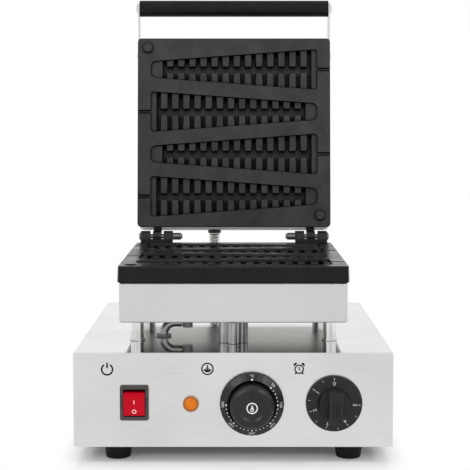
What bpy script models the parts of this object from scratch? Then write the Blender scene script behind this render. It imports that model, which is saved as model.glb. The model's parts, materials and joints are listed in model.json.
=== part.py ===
"""Waffle stick maker: two hinged cast waffle plates over a steel body with a switch, a thermostat and a timer.

Metres, +Z up, the front looks along -Y. The origin is on the floor, under the middle of the whole machine.
The base pieces are placed from the middle of the body. The lid pieces are modelled with the lid closed,
from the hinge axis, under an empty that opens the lid.
"""

import math

import bmesh
import bpy
from mathutils import Matrix, Vector

# General fits
SEAT = 0.0003            # gap left between two pieces that touch
RUN_GAP = 0.0004         # gap round a piece that turns
HOLE_CLEARANCE = 0.0003  # a screw hole is this much larger in radius than its screw
OVERRUN = 0.002          # how far a cut runs past what it cuts
MERGE = 0.000001         # points nearer than this are one
SMOOTH_DEGREES = 35
HEAD_TOP_SHARE = 0.62      # width of a screw head's flat top, of its full width
HEAD_EDGE_SHARE = 0.55     # height of its straight rim, of its full height
HEAD_DOME_SHARE = 0.85     # width and height of a dome's shoulder, of the full ones

# Body
BODY_WIDTH = 0.280
BODY_DEPTH = 0.281
BODY_HEIGHT = 0.083
SHEET = 0.0012
FOLD_RADIUS = 0.0012
CORNER_RADIUS = 0.0025
RETURN_FLANGE = 0.010
COVER_SHEET = 0.0012
VENT_WIDTH = 0.030
VENT_HEIGHT = 0.003
VENT_PITCH = 0.008
VENT_ROWS = 4
VENT_X = 0.040
COVER_VENT_COUNT = 7
COVER_VENT_PITCH = 0.008
COVER_VENT_LENGTH = 0.090
COVER_VENT_WIDTH = 0.004

# Feet and the screws below
FOOT_HEIGHT = 0.017
FOOT_TOP_RADIUS = 0.0131
FOOT_BOTTOM_RADIUS = 0.0113
FOOT_EDGE = 0.0015
FOOT_BORE_DEPTH = 0.007
FOOT_BORE_RADIUS = 0.0055
FOOT_SIDE_INSET = 0.0363
FOOT_INSET = 0.031
FOOT_SCREW_RADIUS = 0.0021
FOOT_SCREW_HEAD_RADIUS = 0.0042
FOOT_SCREW_HEAD = 0.0024
FOOT_SCREW_REACH = 0.006
COVER_SCREW_RADIUS = 0.0016
COVER_SCREW_HEAD_RADIUS = 0.0032
COVER_SCREW_HEAD = 0.0015
COVER_SCREW_REACH = 0.003
COVER_SCREW_Y = 0.090

# Posts between the body and the lower iron, with their bolts
POST_RADIUS = 0.006
POST_HEIGHT = 0.0196
POST_FOOT_RADIUS = 0.00725
POST_FOOT_HEIGHT = 0.0012
POST_INSET = 0.015
POST_FRONT_Y = -0.0795
POST_REAR_Y = 0.0745
POST_BOLT_RADIUS = 0.0025
POST_BOLT_HEAD_RADIUS = 0.0046
POST_BOLT_HEAD = 0.0032
POST_NUT_HEIGHT = 0.004
POST_BOLT_TIP = 0.0004

# Wire duct between the body and the lower iron
DUCT_WIDTH = 0.0265
DUCT_DEPTH = 0.024
DUCT_WALL = 0.0012
DUCT_FRONT_Y = -0.0955
DUCT_BEAD_RADIUS = 0.006
DUCT_HOLE_RADIUS = 0.008

# Braided conduit of the lower heater
CONDUIT_RADIUS = 0.004
CONDUIT_X = -0.0655
CONDUIT_Y = -0.0605
CONDUIT_RISE = 0.013
CONDUIT_BEND = 0.011
GLAND_X = -0.043
GLAND_RADIUS = 0.00475
GLAND_HEIGHT = 0.0108
GLAND_THREAD_RADIUS = 0.0035
GLAND_NUT_HEIGHT = 0.003
GROMMET_LIP = 0.0016
GROMMET_LIP_HEIGHT = 0.0018

# Lower iron
HOUSING_WIDTH = 0.207
HOUSING_DEPTH = 0.203
HOUSING_HEIGHT = 0.0361
HOUSING_CORNER = 0.003
HOUSING_FLANGE = 0.012
PLATE_OVERHANG = 0.001
PLATE_HEIGHT = 0.0152
PLATE_DRAFT = 0.0005
PLATE_CORNER = 0.0035
PLATE_EDGE = 0.0006

# Waffle cavities, the same in both plates
CAVITY_END_MARGIN = 0.014
CAVITY_FIRST_SHARE = 0.165854
CAVITY_PITCH_SHARE = 0.22439
CAVITY_COUNT = 4
CAVITY_WIDE_SHARE = 0.217073
CAVITY_NARROW_SHARE = 0.0878049
CAVITY_WIDE_CORNER = 0.0035
CAVITY_TIP_CORNER = 0.006
CAVITY_SHALLOW = 0.002
CAVITY_DEEP = 0.010
CAVITY_DRAFT = 0.0004
BLOCK_COUNT = 13
BLOCK_LENGTH_SHARE = 0.038674
BLOCK_GAP_SHARE = 0.0281768
WIDE_STRIP_SHARE = 0.0337017
CHANNEL_WIDTH = 0.007
WALL_LEDGE = 0.0005
STICK_RADIUS = 0.0021

# Locating bosses of the upper plate and their sockets in the lower one
BOSS_RADIUS = 0.00525
BOSS_HEIGHT = 0.003
BOSS_CHAMFER = 0.0006
SOCKET_CLEARANCE = 0.0008
SOCKET_DEPTH = 0.004
BOSS_LEFT_FROM_SIDE = 0.011
BOSS_LEFT_FROM_FRONT = 0.0105
BOSS_RIGHT_FROM_SIDE = 0.0115
BOSS_RIGHT_FROM_REAR = 0.0128

# Inside both irons
HEATER_RADIUS = 0.004
HEATER_HALF_RUN_SHARE = 0.277512
HEATER_RUNS = 4
SHIELD_SHEET = 0.0015
SHIELD_MARGIN = 0.008
SHIELD_BOLT_RADIUS = 0.002
SHIELD_BOLT_HEAD_RADIUS = 0.0038
SHIELD_BOLT_HEAD = 0.0028
SHIELD_BOLT_BITE = 0.003
SHIELD_BOLT_X = 0.030
INSULATION_MARGIN = 0.005
INSULATION_HEIGHT = 0.020
INSULATION_HOLE_CLEARANCE = 0.001
PLATE_SCREW_RADIUS = 0.002
PLATE_SCREW_HEAD_RADIUS = 0.0038
PLATE_SCREW_HEAD = 0.0022
PLATE_SCREW_BITE = 0.004
PLATE_SCREW_Y = 0.050

# Hinge and lid
HINGE_INSET = 0.0201
HINGE_BEHIND_PLATE = 0.0102
HINGE_ABOVE_PLATE = 0.0054
HINGE_RADIUS = 0.006
HINGE_LUG = 0.0098
HINGE_LUG_X = 0.0122
HINGE_MIDDLE = 0.0086
HINGE_PIN_RADIUS = 0.0025
HINGE_PIN_HEAD_RADIUS = 0.0042
HINGE_PIN_HEAD = 0.002
HINGE_NUT_RADIUS = 0.0039
HINGE_NUT_LENGTH = 0.0085
HINGE_PIN_TIP = 0.0015
BRACKET_WEB_DROP = 0.0021
BRACKET_GUSSET = 0.024
BRACKET_PLATE_GAP = 0.0008
BRACKET_PAD_HEIGHT = 0.018
BRACKET_SCREW_RADIUS = 0.002
BRACKET_SCREW_HEAD_RADIUS = 0.0037
BRACKET_SCREW_HEAD = 0.0022
BRACKET_SCREW_X = 0.0105
BRACKET_SCREW_DROP = 0.0045
LID_OPEN_DEGREES = 95.5
LID_GAP = 0.0005
LID_HEIGHT = 0.035
LID_COVER_SHEET = 0.0015
LID_COVER_OVERHANG = 0.0006
LID_COVER_SCREW_RADIUS = 0.0016
LID_COVER_SCREW_HEAD_RADIUS = 0.0032
LID_COVER_SCREW_HEAD = 0.0016
LID_COVER_SCREW_REACH = 0.003
LID_COVER_SCREW_Y = 0.085
LID_TOP_FLANGE = 0.010
LID_REAR_OVERHANG = 0.0029
LID_FRONT_MARGIN = 0.001
HINGE_ARM_ROOT = 0.0045
HINGE_ARM_FOOT = 0.0055
HINGE_ARM_REACH = 0.035
HINGE_ARM_SCREW_FROM_END = 0.005
HINGE_ARM_SCREW_STEP = 0.012

# Handle
GRIP_RADIUS = 0.00885
GRIP_FLUTE = 0.0005
GRIP_FLUTES = 16
GRIP_FORWARD = 0.0357
GRIP_LIFT = 0.0175
HANDLE_ARM_SHEET = 0.0015
HANDLE_ARM_WIDTH = 0.015
HANDLE_ARM_SCREW_BACK = 0.014
HANDLE_ARM_TAIL = 0.020
HANDLE_ARM_RISE = 0.010
HANDLE_ROD_RADIUS = 0.003
HANDLE_DOME_RADIUS = 0.006
HANDLE_DOME = 0.0022
ARM_SCREW_RADIUS = 0.002
ARM_SCREW_HEAD_RADIUS = 0.004
ARM_SCREW_HEAD = 0.0022
ARM_SCREW_REACH = 0.004

# Hose from the lid to the body
HOSE_RADIUS = 0.0062
HOSE_VALLEY = 0.0053
HOSE_BORE = 0.0044
HOSE_RIB_PITCH = 0.003
HOSE_X = -0.0215
HOSE_GLAND_RADIUS = 0.0072
HOSE_GLAND_LENGTH = 0.012
LID_GLAND_LENGTH = 0.004
HOSE_GLAND_T = 0.0201
HOSE_BASE_Y = 0.126
HOSE_BULGE = 0.010
HOSE_STRAIGHT = 0.010

# Switch
SWITCH_X_SHARE = -0.308393
SWITCH_Z = 0.0562
BEZEL_WIDTH = 0.025
BEZEL_HEIGHT = 0.031
BEZEL_PROUD = 0.002
BEZEL_CORNER = 0.0016
SWITCH_BODY_WIDTH = 0.0220
SWITCH_BODY_HEIGHT = 0.0295
SWITCH_BODY_DEPTH = 0.025
SWITCH_WALL = 0.0009
SWITCH_OPENING_WIDTH = 0.0193
SWITCH_OPENING_HEIGHT = 0.0243
SWITCH_RIM = 0.0012
SWITCH_POCKET = 0.020
ROCKER_TILT_DEGREES = 10
ROCKER_AXIS_DEPTH = 0.014
ROCKER_FACE = 0.016
ROCKER_HALF_FACE = 0.0083
ROCKER_SHOULDER = 0.0049
ROCKER_SHOULDER_HALF = 0.01104
ROCKER_PIVOT_RADIUS = 0.0013
TERMINAL_WIDTH = 0.0048
TERMINAL_SHEET = 0.0008
TERMINAL_LENGTH = 0.008
TERMINAL_PITCH = 0.0085

# Lamp
LAMP_X_SHARE = -0.132143
LAMP_Z = 0.0552
LAMP_RADIUS = 0.00705
LAMP_RIM_HEIGHT = 0.0014
LAMP_DOME_RADIUS = 0.0052
LAMP_DOME = 0.0018
LAMP_NECK_RADIUS = 0.0058
LAMP_BODY_RADIUS = 0.0050
LAMP_BODY_DEPTH = 0.022

# Thermostat
THERMOSTAT_X_SHARE = 0.0582143
THERMOSTAT_Z = 0.0555
DIAL_RADIUS = 0.028
DIAL_INNER = 0.0208
DIAL_HEIGHT = 0.0070
DIAL_RIM_HEIGHT = 0.0022
DIAL_FLOOR = 0.0012
DIAL_EDGE = 0.001
KNOB_RADIUS = 0.0199
KNOB_FRONT_RADIUS = 0.0186
KNOB_HEIGHT = 0.0195
KNOB_EDGE = 0.0022
KNOB_BOSS_RADIUS = 0.0105
KNOB_BOSS = 0.0012
KNOB_POINTER_WIDTH = 0.0012
KNOB_POINTER_HEIGHT = 0.0006
SHAFT_RADIUS = 0.003
SHAFT_REACH = 0.0055
THERMOSTAT_BODY_WIDTH = 0.034
THERMOSTAT_BODY_HEIGHT = 0.032
THERMOSTAT_BODY_DEPTH = 0.024
CAPILLARY_RADIUS = 0.001
BULB_RADIUS = 0.003
BULB_LENGTH = 0.050

# Timer
TIMER_X_SHARE = 0.314286
TIMER_Z = 0.0558
TIMER_SKIRT_RADIUS = 0.0247
TIMER_SKIRT = 0.0035
TIMER_HUB_RADIUS = 0.01415
TIMER_HUB = 0.0095
TIMER_BAR_WIDTH = 0.014
TIMER_BAR_HEIGHT = 0.0225
TIMER_BAR_LENGTH = 0.0278
TIMER_BODY_SIZE = 0.044
TIMER_BODY_DEPTH = 0.038
TIMER_LIFT = 0.0005

# Inside the body and at its rear
BLOCK_FROM_GLAND = 0.035
BLOCK_Y = 0.085
TERMINAL_BLOCK_WIDTH = 0.048
TERMINAL_BLOCK_DEPTH = 0.022
TERMINAL_BLOCK_HEIGHT = 0.018
TERMINAL_BLOCK_PORT = 0.0028
TERMINAL_BLOCK_PORTS = 4
TERMINAL_BLOCK_STEP = 0.005
CORD_GLAND_INSET = 0.045
CORD_GLAND_Z = 0.050
CORD_GLAND_RADIUS = 0.011
CORD_GLAND_LENGTH = 0.014
CORD_GLAND_THREAD = 0.008
CORD_GLAND_BORE = 0.0042
CORD_GLAND_NUT = 0.004

# Facets of round pieces
ROUND_FINE = 32
ROUND = 16
ROUND_SMALL = 12
ROUND_TINY = 8
HEX = 6

# Places worked out from the sizes above
SIDES = {"left": -1, "right": 1}
PLATE_WIDTH = HOUSING_WIDTH + 2 * PLATE_OVERHANG
PLATE_DEPTH = HOUSING_DEPTH + 2 * PLATE_OVERHANG
CAVITY_LENGTH = PLATE_WIDTH - 2 * CAVITY_END_MARGIN
CAVITY_FIRST = CAVITY_FIRST_SHARE * PLATE_DEPTH
CAVITY_PITCH = CAVITY_PITCH_SHARE * PLATE_DEPTH
CAVITY_WIDE = CAVITY_WIDE_SHARE * PLATE_DEPTH
CAVITY_NARROW = CAVITY_NARROW_SHARE * PLATE_DEPTH
HEATER_PITCH = CAVITY_PITCH
SHIELD_BOLT_Y = CAVITY_PITCH
BLOCK_LENGTH = BLOCK_LENGTH_SHARE * CAVITY_LENGTH
BLOCK_GAP = BLOCK_GAP_SHARE * CAVITY_LENGTH
WIDE_STRIP = WIDE_STRIP_SHARE * CAVITY_LENGTH
BOSS_LEFT_X = BOSS_LEFT_FROM_SIDE - PLATE_WIDTH / 2
BOSS_RIGHT_X = PLATE_WIDTH / 2 - BOSS_RIGHT_FROM_SIDE
HEATER_HALF_RUN = HEATER_HALF_RUN_SHARE * PLATE_WIDTH
HINGE_X = HOUSING_WIDTH / 2 - HINGE_INSET
POST_X = HOUSING_WIDTH / 2 - POST_INSET
FOOT_X = BODY_WIDTH / 2 - FOOT_SIDE_INSET
SWITCH_X = SWITCH_X_SHARE * BODY_WIDTH
LAMP_X = LAMP_X_SHARE * BODY_WIDTH
THERMOSTAT_X = THERMOSTAT_X_SHARE * BODY_WIDTH
TIMER_X = TIMER_X_SHARE * BODY_WIDTH
CORD_GLAND_X = CORD_GLAND_INSET - BODY_WIDTH / 2
BLOCK_X = CORD_GLAND_X + BLOCK_FROM_GLAND
BODY_TOP = FOOT_HEIGHT + BODY_HEIGHT
BODY_FRONT = -BODY_DEPTH / 2
BODY_REAR = BODY_DEPTH / 2
HOUSING_BOTTOM = BODY_TOP + POST_HEIGHT
HOUSING_TOP = HOUSING_BOTTOM + HOUSING_HEIGHT
PLATE_BOTTOM = HOUSING_TOP + SEAT
PLATE_TOP = PLATE_BOTTOM + PLATE_HEIGHT
HINGE_Y = PLATE_DEPTH / 2 + HINGE_BEHIND_PLATE
HINGE_Z = PLATE_TOP + HINGE_ABOVE_PLATE
LID_FACE = LID_GAP - HINGE_ABOVE_PLATE
LID_BACK = LID_FACE + PLATE_HEIGHT
LID_CENTRE_Y = -HINGE_BEHIND_PLATE - PLATE_DEPTH / 2
LID_WALL_Y = LID_REAR_OVERHANG - HINGE_BEHIND_PLATE
LID_FRONT_Y = LID_FRONT_MARGIN - HINGE_BEHIND_PLATE - PLATE_DEPTH
LID_DEPTH = LID_WALL_Y - LID_FRONT_Y
LID_MIDDLE_Y = (LID_WALL_Y + LID_FRONT_Y) / 2
LID_BOTTOM = LID_BACK + SEAT
LID_TOP = LID_BOTTOM + LID_HEIGHT
GRIP_Y = -HINGE_BEHIND_PLATE - PLATE_DEPTH - GRIP_FORWARD
GRIP_Z = LID_FACE + GRIP_LIFT
OPEN_ANGLE = -math.radians(LID_OPEN_DEGREES)
HOSE_THREAD = HOSE_BORE + GROMMET_LIP
WEB_FRONT = BRACKET_PLATE_GAP - HINGE_BEHIND_PLATE
WEB_REAR = -HINGE_RADIUS - RUN_GAP
HINGE_HALF = HINGE_LUG_X + HINGE_LUG / 2
HALF = 0.5

ALONG_X = Matrix.Rotation(math.pi / 2, 4, "Y")
TO_FRONT = Matrix.Rotation(math.pi / 2, 4, "X")
TO_REAR = Matrix.Rotation(-math.pi / 2, 4, "X")
PROFILE_ALONG_X = Matrix(((0, 0, 1, 0), (1, 0, 0, 0), (0, 1, 0, 0), (0, 0, 0, 1)))

# Finishes as colour, roughness and metallic
STEEL = ((0.72, 0.72, 0.70), 0.32, 1.0)
BRIGHT_STEEL = ((0.80, 0.80, 0.79), 0.15, 1.0)
COATED_IRON = ((0.045, 0.045, 0.047), 0.55, 0.0)
BLACK_PLASTIC = ((0.022, 0.022, 0.023), 0.40, 0.0)
BLACK_RUBBER = ((0.012, 0.012, 0.012), 0.75, 0.0)
RED_PLASTIC = ((0.55, 0.005, 0.012), 0.25, 0.0)
ORANGE_PLASTIC = ((0.75, 0.17, 0.02), 0.25, 0.0)
CERAMIC = ((0.75, 0.72, 0.66), 0.60, 0.0)
FIBRE = ((0.70, 0.69, 0.64), 0.95, 0.0)
GREY_PLASTIC = ((0.20, 0.20, 0.21), 0.45, 0.0)


def clear_scene():
    """Remove whatever the scene holds."""
    for item in list(bpy.data.objects):
        bpy.data.objects.remove(item, do_unlink=True)


def at(x, y, z):
    """Translation to a place."""
    return Matrix.Translation((x, y, z))


def finish_material(name, finish):
    """Principled material from a colour, a roughness and a metallic value."""
    colour, roughness, metallic = finish
    material = bpy.data.materials.new(name + "_finish")
    material.use_nodes = True
    shader = material.node_tree.nodes["Principled BSDF"]
    shader.inputs["Base Color"].default_value = (*colour, 1.0)
    shader.inputs["Roughness"].default_value = roughness
    shader.inputs["Metallic"].default_value = metallic
    material.diffuse_color = (*colour, 1.0)
    return material


def add_empty(name, location, angle_x=0.0, parent=None):
    """Frame that carries other pieces."""
    frame = bpy.data.objects.new(name, None)
    bpy.context.scene.collection.objects.link(frame)
    frame.empty_display_size = HINGE_X
    frame.location = location
    frame.rotation_euler = (angle_x, 0, 0)
    frame.parent = parent
    return frame


def add_piece(name, shape, finish, parent, location=(0, 0, 0), rotation=(0, 0, 0)):
    """Turn a bmesh into a named object with its own material."""
    bmesh.ops.recalc_face_normals(shape, faces=shape.faces)
    mesh = bpy.data.meshes.new(name)
    shape.to_mesh(mesh)
    shape.free()
    mesh.shade_smooth()
    mesh.set_sharp_from_angle(angle=math.radians(SMOOTH_DEGREES))
    mesh.materials.append(finish_material(name, finish))
    piece = bpy.data.objects.new(name, mesh)
    bpy.context.scene.collection.objects.link(piece)
    piece.location = location
    piece.rotation_euler = rotation
    piece.parent = parent
    return piece


def add_boolean(piece, label, shape, operation="DIFFERENCE"):
    """Cut a shape out of a piece, or join it on, with a hidden helper that the piece carries."""
    bmesh.ops.recalc_face_normals(shape, faces=shape.faces)
    mesh = bpy.data.meshes.new(piece.name + "_" + label)
    shape.to_mesh(mesh)
    shape.free()
    helper = bpy.data.objects.new(mesh.name, mesh)
    bpy.context.scene.collection.objects.link(helper)
    helper.parent = piece
    helper.hide_render = True
    helper.display_type = "WIRE"
    modifier = piece.modifiers.new(label, "BOOLEAN")
    modifier.operation = operation
    modifier.solver = "EXACT"
    modifier.object = helper


def add_box(shape, low, high, matrix=Matrix()):
    """Box between two corners."""
    low = Vector(low)
    high = Vector(high)
    size = Matrix.Diagonal((*(high - low), 1))
    place = Matrix.Translation((low + high) / 2)
    bmesh.ops.create_cube(shape, size=1, matrix=matrix @ place @ size)


def add_cylinder(shape, radius, low, high, sides, matrix=Matrix(), radius_high=None):
    """Cylinder or cone along local Z from low to high."""
    place = Matrix.Translation((0, 0, (low + high) / 2))
    bmesh.ops.create_cone(
        shape,
        cap_ends=True,
        segments=sides,
        radius1=radius,
        radius2=radius if radius_high is None else radius_high,
        depth=high - low,
        matrix=matrix @ place,
    )


def add_turned(shape, profile, steps, closed=False, matrix=Matrix()):
    """Spin an outline of (radius, height) points round local Z."""
    corners = [shape.verts.new((radius, 0, height)) for radius, height in profile]
    pairs = list(zip(corners, corners[1:]))
    if closed:
        pairs.append((corners[-1], corners[0]))
    edges = [shape.edges.new(pair) for pair in pairs]
    before = set(shape.verts) - set(corners)
    bmesh.ops.spin(
        shape,
        geom=corners + edges,
        cent=(0, 0, 0),
        axis=(0, 0, 1),
        angle=math.tau,
        steps=steps,
        use_merge=True,
    )
    made = [vert for vert in shape.verts if vert not in before]
    bmesh.ops.remove_doubles(shape, verts=made, dist=MERGE)
    made = [vert for vert in shape.verts if vert not in before]
    bmesh.ops.transform(shape, matrix=matrix, verts=made)


def add_loft(shape, rings, cyclic=False, matrix=Matrix()):
    """Join rings that have the same number of points, capped at both ends unless cyclic."""
    loops = [[shape.verts.new(matrix @ Vector(point)) for point in ring] for ring in rings]
    pairs = list(zip(loops, loops[1:]))
    if cyclic:
        pairs.append((loops[-1], loops[0]))
    else:
        shape.faces.new(loops[0])
        shape.faces.new(loops[-1])
    for lower, upper in pairs:
        for index, start in enumerate(lower):
            after = (index + 1) % len(lower)
            shape.faces.new((start, lower[after], upper[after], upper[index]))


def add_prism(shape, outline, low, high, matrix=Matrix()):
    """Extrude a flat outline of (x, y) points along local Z."""
    base = [shape.verts.new((x, y, low)) for x, y in outline]
    face = shape.faces.new(base)
    grown = bmesh.ops.extrude_face_region(shape, geom=[face])
    lifted = [item for item in grown["geom"] if isinstance(item, bmesh.types.BMVert)]
    bmesh.ops.translate(shape, vec=(0, 0, high - low), verts=lifted)
    bmesh.ops.transform(shape, matrix=matrix, verts=base + lifted)


def rounded_rectangle(width, depth, radius, centre=(0, 0), steps=2):
    """Outline of a rectangle with round corners, anticlockwise."""
    points = []
    for corner, (side_x, side_y) in enumerate(((1, 1), (-1, 1), (-1, -1), (1, -1))):
        middle_x = centre[0] + side_x * (width / 2 - radius)
        middle_y = centre[1] + side_y * (depth / 2 - radius)
        for step in range(steps + 1):
            angle = (corner + step / steps) * math.pi / 2
            points.append(
                (middle_x + radius * math.cos(angle), middle_y + radius * math.sin(angle))
            )
    return points


def ring(outline, height):
    """Outline lifted to a height."""
    return [(x, y, height) for x, y in outline]


def pan_rings(width, depth, corner, levels, centre=(0, 0)):
    """Rings of a folded sheet pan from (inset, height) pairs."""
    rings = []
    for inset, height in levels:
        outline = rounded_rectangle(
            width - 2 * inset, depth - 2 * inset, max(corner - inset, FOLD_RADIUS / 2), centre
        )
        rings.append(ring(outline, height))
    return rings


def smooth_route(points, steps):
    """Points along a smooth curve through the route's own points."""
    knots = [Vector(point) for point in points]
    knots = [2 * knots[0] - knots[1]] + knots + [2 * knots[-1] - knots[-2]]
    route = []
    for index in range(1, len(knots) - 2):
        a, b, c, d = knots[index - 1 : index + 3]
        for step in range(steps):
            t = step / steps
            route.append(
                ((2 * b) + (c - a) * t + (2 * a - 5 * b + 4 * c - d) * t**2
                 + (3 * b - a - 3 * c + d) * t**3) / 2
            )
    route.append(knots[-2])
    return route


def tube_curve(name, points, radii, resolution=2):
    """Curve object of a filled tube with a radius at each point."""
    curve = bpy.data.curves.new(name, "CURVE")
    curve.dimensions = "3D"
    curve.bevel_depth = max(radii)
    curve.bevel_resolution = resolution
    curve.use_fill_caps = True
    line = curve.splines.new("POLY")
    line.points.add(len(points) - 1)
    for point, place, radius in zip(line.points, points, radii):
        point.co = (*place, 1)
        point.radius = radius / curve.bevel_depth
    line.use_smooth = True
    return bpy.data.objects.new(name, curve)


def add_tube(name, points, radii, finish, parent, resolution=2):
    """Round tube along a route, kept as a curve."""
    tube = tube_curve(name, points, radii, resolution)
    tube.data.materials.append(finish_material(name, finish))
    bpy.context.scene.collection.objects.link(tube)
    tube.parent = parent
    return tube


def mesh_of_tube(name, points, radii, resolution=2):
    """Bmesh of a filled tube along a route."""
    tube = tube_curve(name, points, radii, resolution)
    bpy.context.scene.collection.objects.link(tube)
    graph = bpy.context.evaluated_depsgraph_get()
    shape = bmesh.new()
    shape.from_mesh(bpy.data.meshes.new_from_object(tube.evaluated_get(graph)))
    bpy.data.objects.remove(tube, do_unlink=True)
    bmesh.ops.remove_doubles(shape, verts=shape.verts, dist=MERGE)
    return shape


def add_screw(shape, place, radius, head_radius, head, length, sides=ROUND_SMALL, seat=-SEAT):
    """Pan-head screw: the head grows along local +Z from its seat, the shank along -Z.

    A negative seat sinks the head a little into the piece that the screw is part of.
    """
    profile = (
        (0, head),
        (head_radius * HEAD_TOP_SHARE, head),
        (head_radius, head * HEAD_EDGE_SHARE),
        (head_radius, seat),
        (radius, seat),
        (radius, -length),
        (0, -length),
    )
    add_turned(shape, profile, sides, matrix=place)


def add_bolt(shape, place, radius, head_radius, head, length):
    """Hexagon bolt sunk a little into its seat: the head grows along local +Z, the shank along -Z."""
    profile = (
        (0, head),
        (head_radius, head),
        (head_radius, -SEAT),
        (radius, -SEAT),
        (radius, -length),
        (0, -length),
    )
    add_turned(shape, profile, HEX, matrix=place)


def front_place(x, z):
    """Frame on the front panel whose local Z points out of the machine."""
    return at(x, BODY_FRONT, z) @ TO_FRONT


def foot_places():
    """Middle of each foot."""
    front = BODY_FRONT + FOOT_INSET
    rear = BODY_REAR - FOOT_INSET
    return {
        "foot_front_left": (-FOOT_X, front),
        "foot_front_right": (FOOT_X, front),
        "foot_rear_left": (-FOOT_X, rear),
        "foot_rear_right": (FOOT_X, rear),
    }


def post_places():
    """Middle of each post."""
    return {
        "post_front_left": (-POST_X, POST_FRONT_Y),
        "post_front_right": (POST_X, POST_FRONT_Y),
        "post_rear_left": (-POST_X, POST_REAR_Y),
        "post_rear_right": (POST_X, POST_REAR_Y),
    }


def cover_screw_places():
    """Cover screws, in the middle of the return flange."""
    side = BODY_WIDTH / 2 - SHEET - RETURN_FLANGE / 2
    return [(x, y) for x in (-side, side) for y in (-COVER_SCREW_Y, COVER_SCREW_Y)]


def duct_middle():
    """Y of the middle of the wire duct."""
    return DUCT_FRONT_Y + DUCT_DEPTH / 2


def build_body_shell(base):
    """Folded steel box, open below, with a return flange for the cover."""
    top = BODY_TOP
    recess = FOOT_HEIGHT + COVER_SHEET + SEAT
    levels = (
        (FOLD_RADIUS, top),
        (FOLD_RADIUS / 3, top - FOLD_RADIUS / 3),
        (0, top - FOLD_RADIUS),
        (0, FOOT_HEIGHT),
        (SHEET, FOOT_HEIGHT),
        (SHEET, recess),
        (SHEET + RETURN_FLANGE, recess),
        (SHEET + RETURN_FLANGE, recess + SHEET),
        (SHEET, recess + SHEET),
        (SHEET, top - SHEET),
    )
    shape = bmesh.new()
    add_loft(shape, pan_rings(BODY_WIDTH, BODY_DEPTH, CORNER_RADIUS, levels))
    shell = add_piece("body_shell", shape, STEEL, base)
    holes = bmesh.new()
    through = SHEET + OVERRUN
    panel = front_place(SWITCH_X, SWITCH_Z)
    outline = rounded_rectangle(
        SWITCH_BODY_WIDTH + SEAT, SWITCH_BODY_HEIGHT + SEAT, BEZEL_CORNER / 2
    )
    add_prism(holes, outline, -through, OVERRUN, panel)
    round_holes = (
        (LAMP_X, LAMP_Z, LAMP_NECK_RADIUS + SEAT),
        (THERMOSTAT_X, THERMOSTAT_Z, SHAFT_RADIUS + RUN_GAP),
        (TIMER_X, TIMER_Z, SHAFT_RADIUS + RUN_GAP),
    )
    for x, z, radius in round_holes:
        add_cylinder(holes, radius, -through, OVERRUN, ROUND_SMALL, front_place(x, z))
    for x, y in post_places().values():
        radius = POST_BOLT_RADIUS + HOLE_CLEARANCE
        add_cylinder(holes, radius, top - through, top + OVERRUN, ROUND_TINY, at(x, y, 0))
    top_holes = (
        (0, duct_middle(), DUCT_HOLE_RADIUS),
        (CONDUIT_X, CONDUIT_Y, CONDUIT_RADIUS + GROMMET_LIP),
        (HOSE_X, HOSE_BASE_Y, HOSE_BORE + GROMMET_LIP),
    )
    for x, y, radius in top_holes:
        add_cylinder(holes, radius, top - through, top + OVERRUN, ROUND_SMALL, at(x, y, 0))
    for x, y in cover_screw_places():
        radius = COVER_SCREW_RADIUS + HOLE_CLEARANCE
        add_cylinder(
            holes, radius, recess - OVERRUN, recess + through, ROUND_TINY, at(x, y, 0)
        )
    add_cylinder(
        holes,
        CORD_GLAND_THREAD + HOLE_CLEARANCE,
        -through,
        OVERRUN,
        ROUND_SMALL,
        at(CORD_GLAND_X, BODY_REAR, CORD_GLAND_Z) @ TO_REAR,
    )
    for side in (-1, 1):
        for row in range(VENT_ROWS):
            height = FOOT_HEIGHT + BODY_HEIGHT / 2 + (row - (VENT_ROWS - 1) / 2) * VENT_PITCH
            middle = side * VENT_X
            add_box(
                holes,
                (middle - VENT_WIDTH / 2, BODY_REAR - through, height - VENT_HEIGHT / 2),
                (middle + VENT_WIDTH / 2, BODY_REAR + OVERRUN, height + VENT_HEIGHT / 2),
            )
    add_boolean(shell, "holes", holes)


def build_bottom_cover(base):
    """Flat vented plate inside the bottom edge of the body."""
    width = BODY_WIDTH - 2 * (SHEET + SEAT)
    depth = BODY_DEPTH - 2 * (SHEET + SEAT)
    shape = bmesh.new()
    add_prism(
        shape,
        rounded_rectangle(width, depth, CORNER_RADIUS - SHEET),
        FOOT_HEIGHT,
        FOOT_HEIGHT + COVER_SHEET,
    )
    cover = add_piece("bottom_cover", shape, STEEL, base)
    holes = bmesh.new()
    low = FOOT_HEIGHT - OVERRUN
    high = FOOT_HEIGHT + COVER_SHEET + OVERRUN
    for row in range(COVER_VENT_COUNT):
        y = (row - (COVER_VENT_COUNT - 1) / 2) * COVER_VENT_PITCH
        add_box(
            holes,
            (-COVER_VENT_LENGTH / 2, y - COVER_VENT_WIDTH / 2, low),
            (COVER_VENT_LENGTH / 2, y + COVER_VENT_WIDTH / 2, high),
        )
    for x, y in foot_places().values():
        add_cylinder(
            holes, FOOT_SCREW_RADIUS + HOLE_CLEARANCE, low, high, ROUND_TINY, at(x, y, 0)
        )
    add_boolean(cover, "holes", holes)
    screws = bmesh.new()
    reach = COVER_SHEET + SHEET + COVER_SCREW_REACH
    for x, y in cover_screw_places():
        place = at(x, y, FOOT_HEIGHT) @ Matrix.Rotation(math.pi, 4, "X")
        add_screw(
            screws, place, COVER_SCREW_RADIUS, COVER_SCREW_HEAD_RADIUS, COVER_SCREW_HEAD, reach,
            HEX,
        )
    add_boolean(cover, "screws", screws, "UNION")


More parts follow.
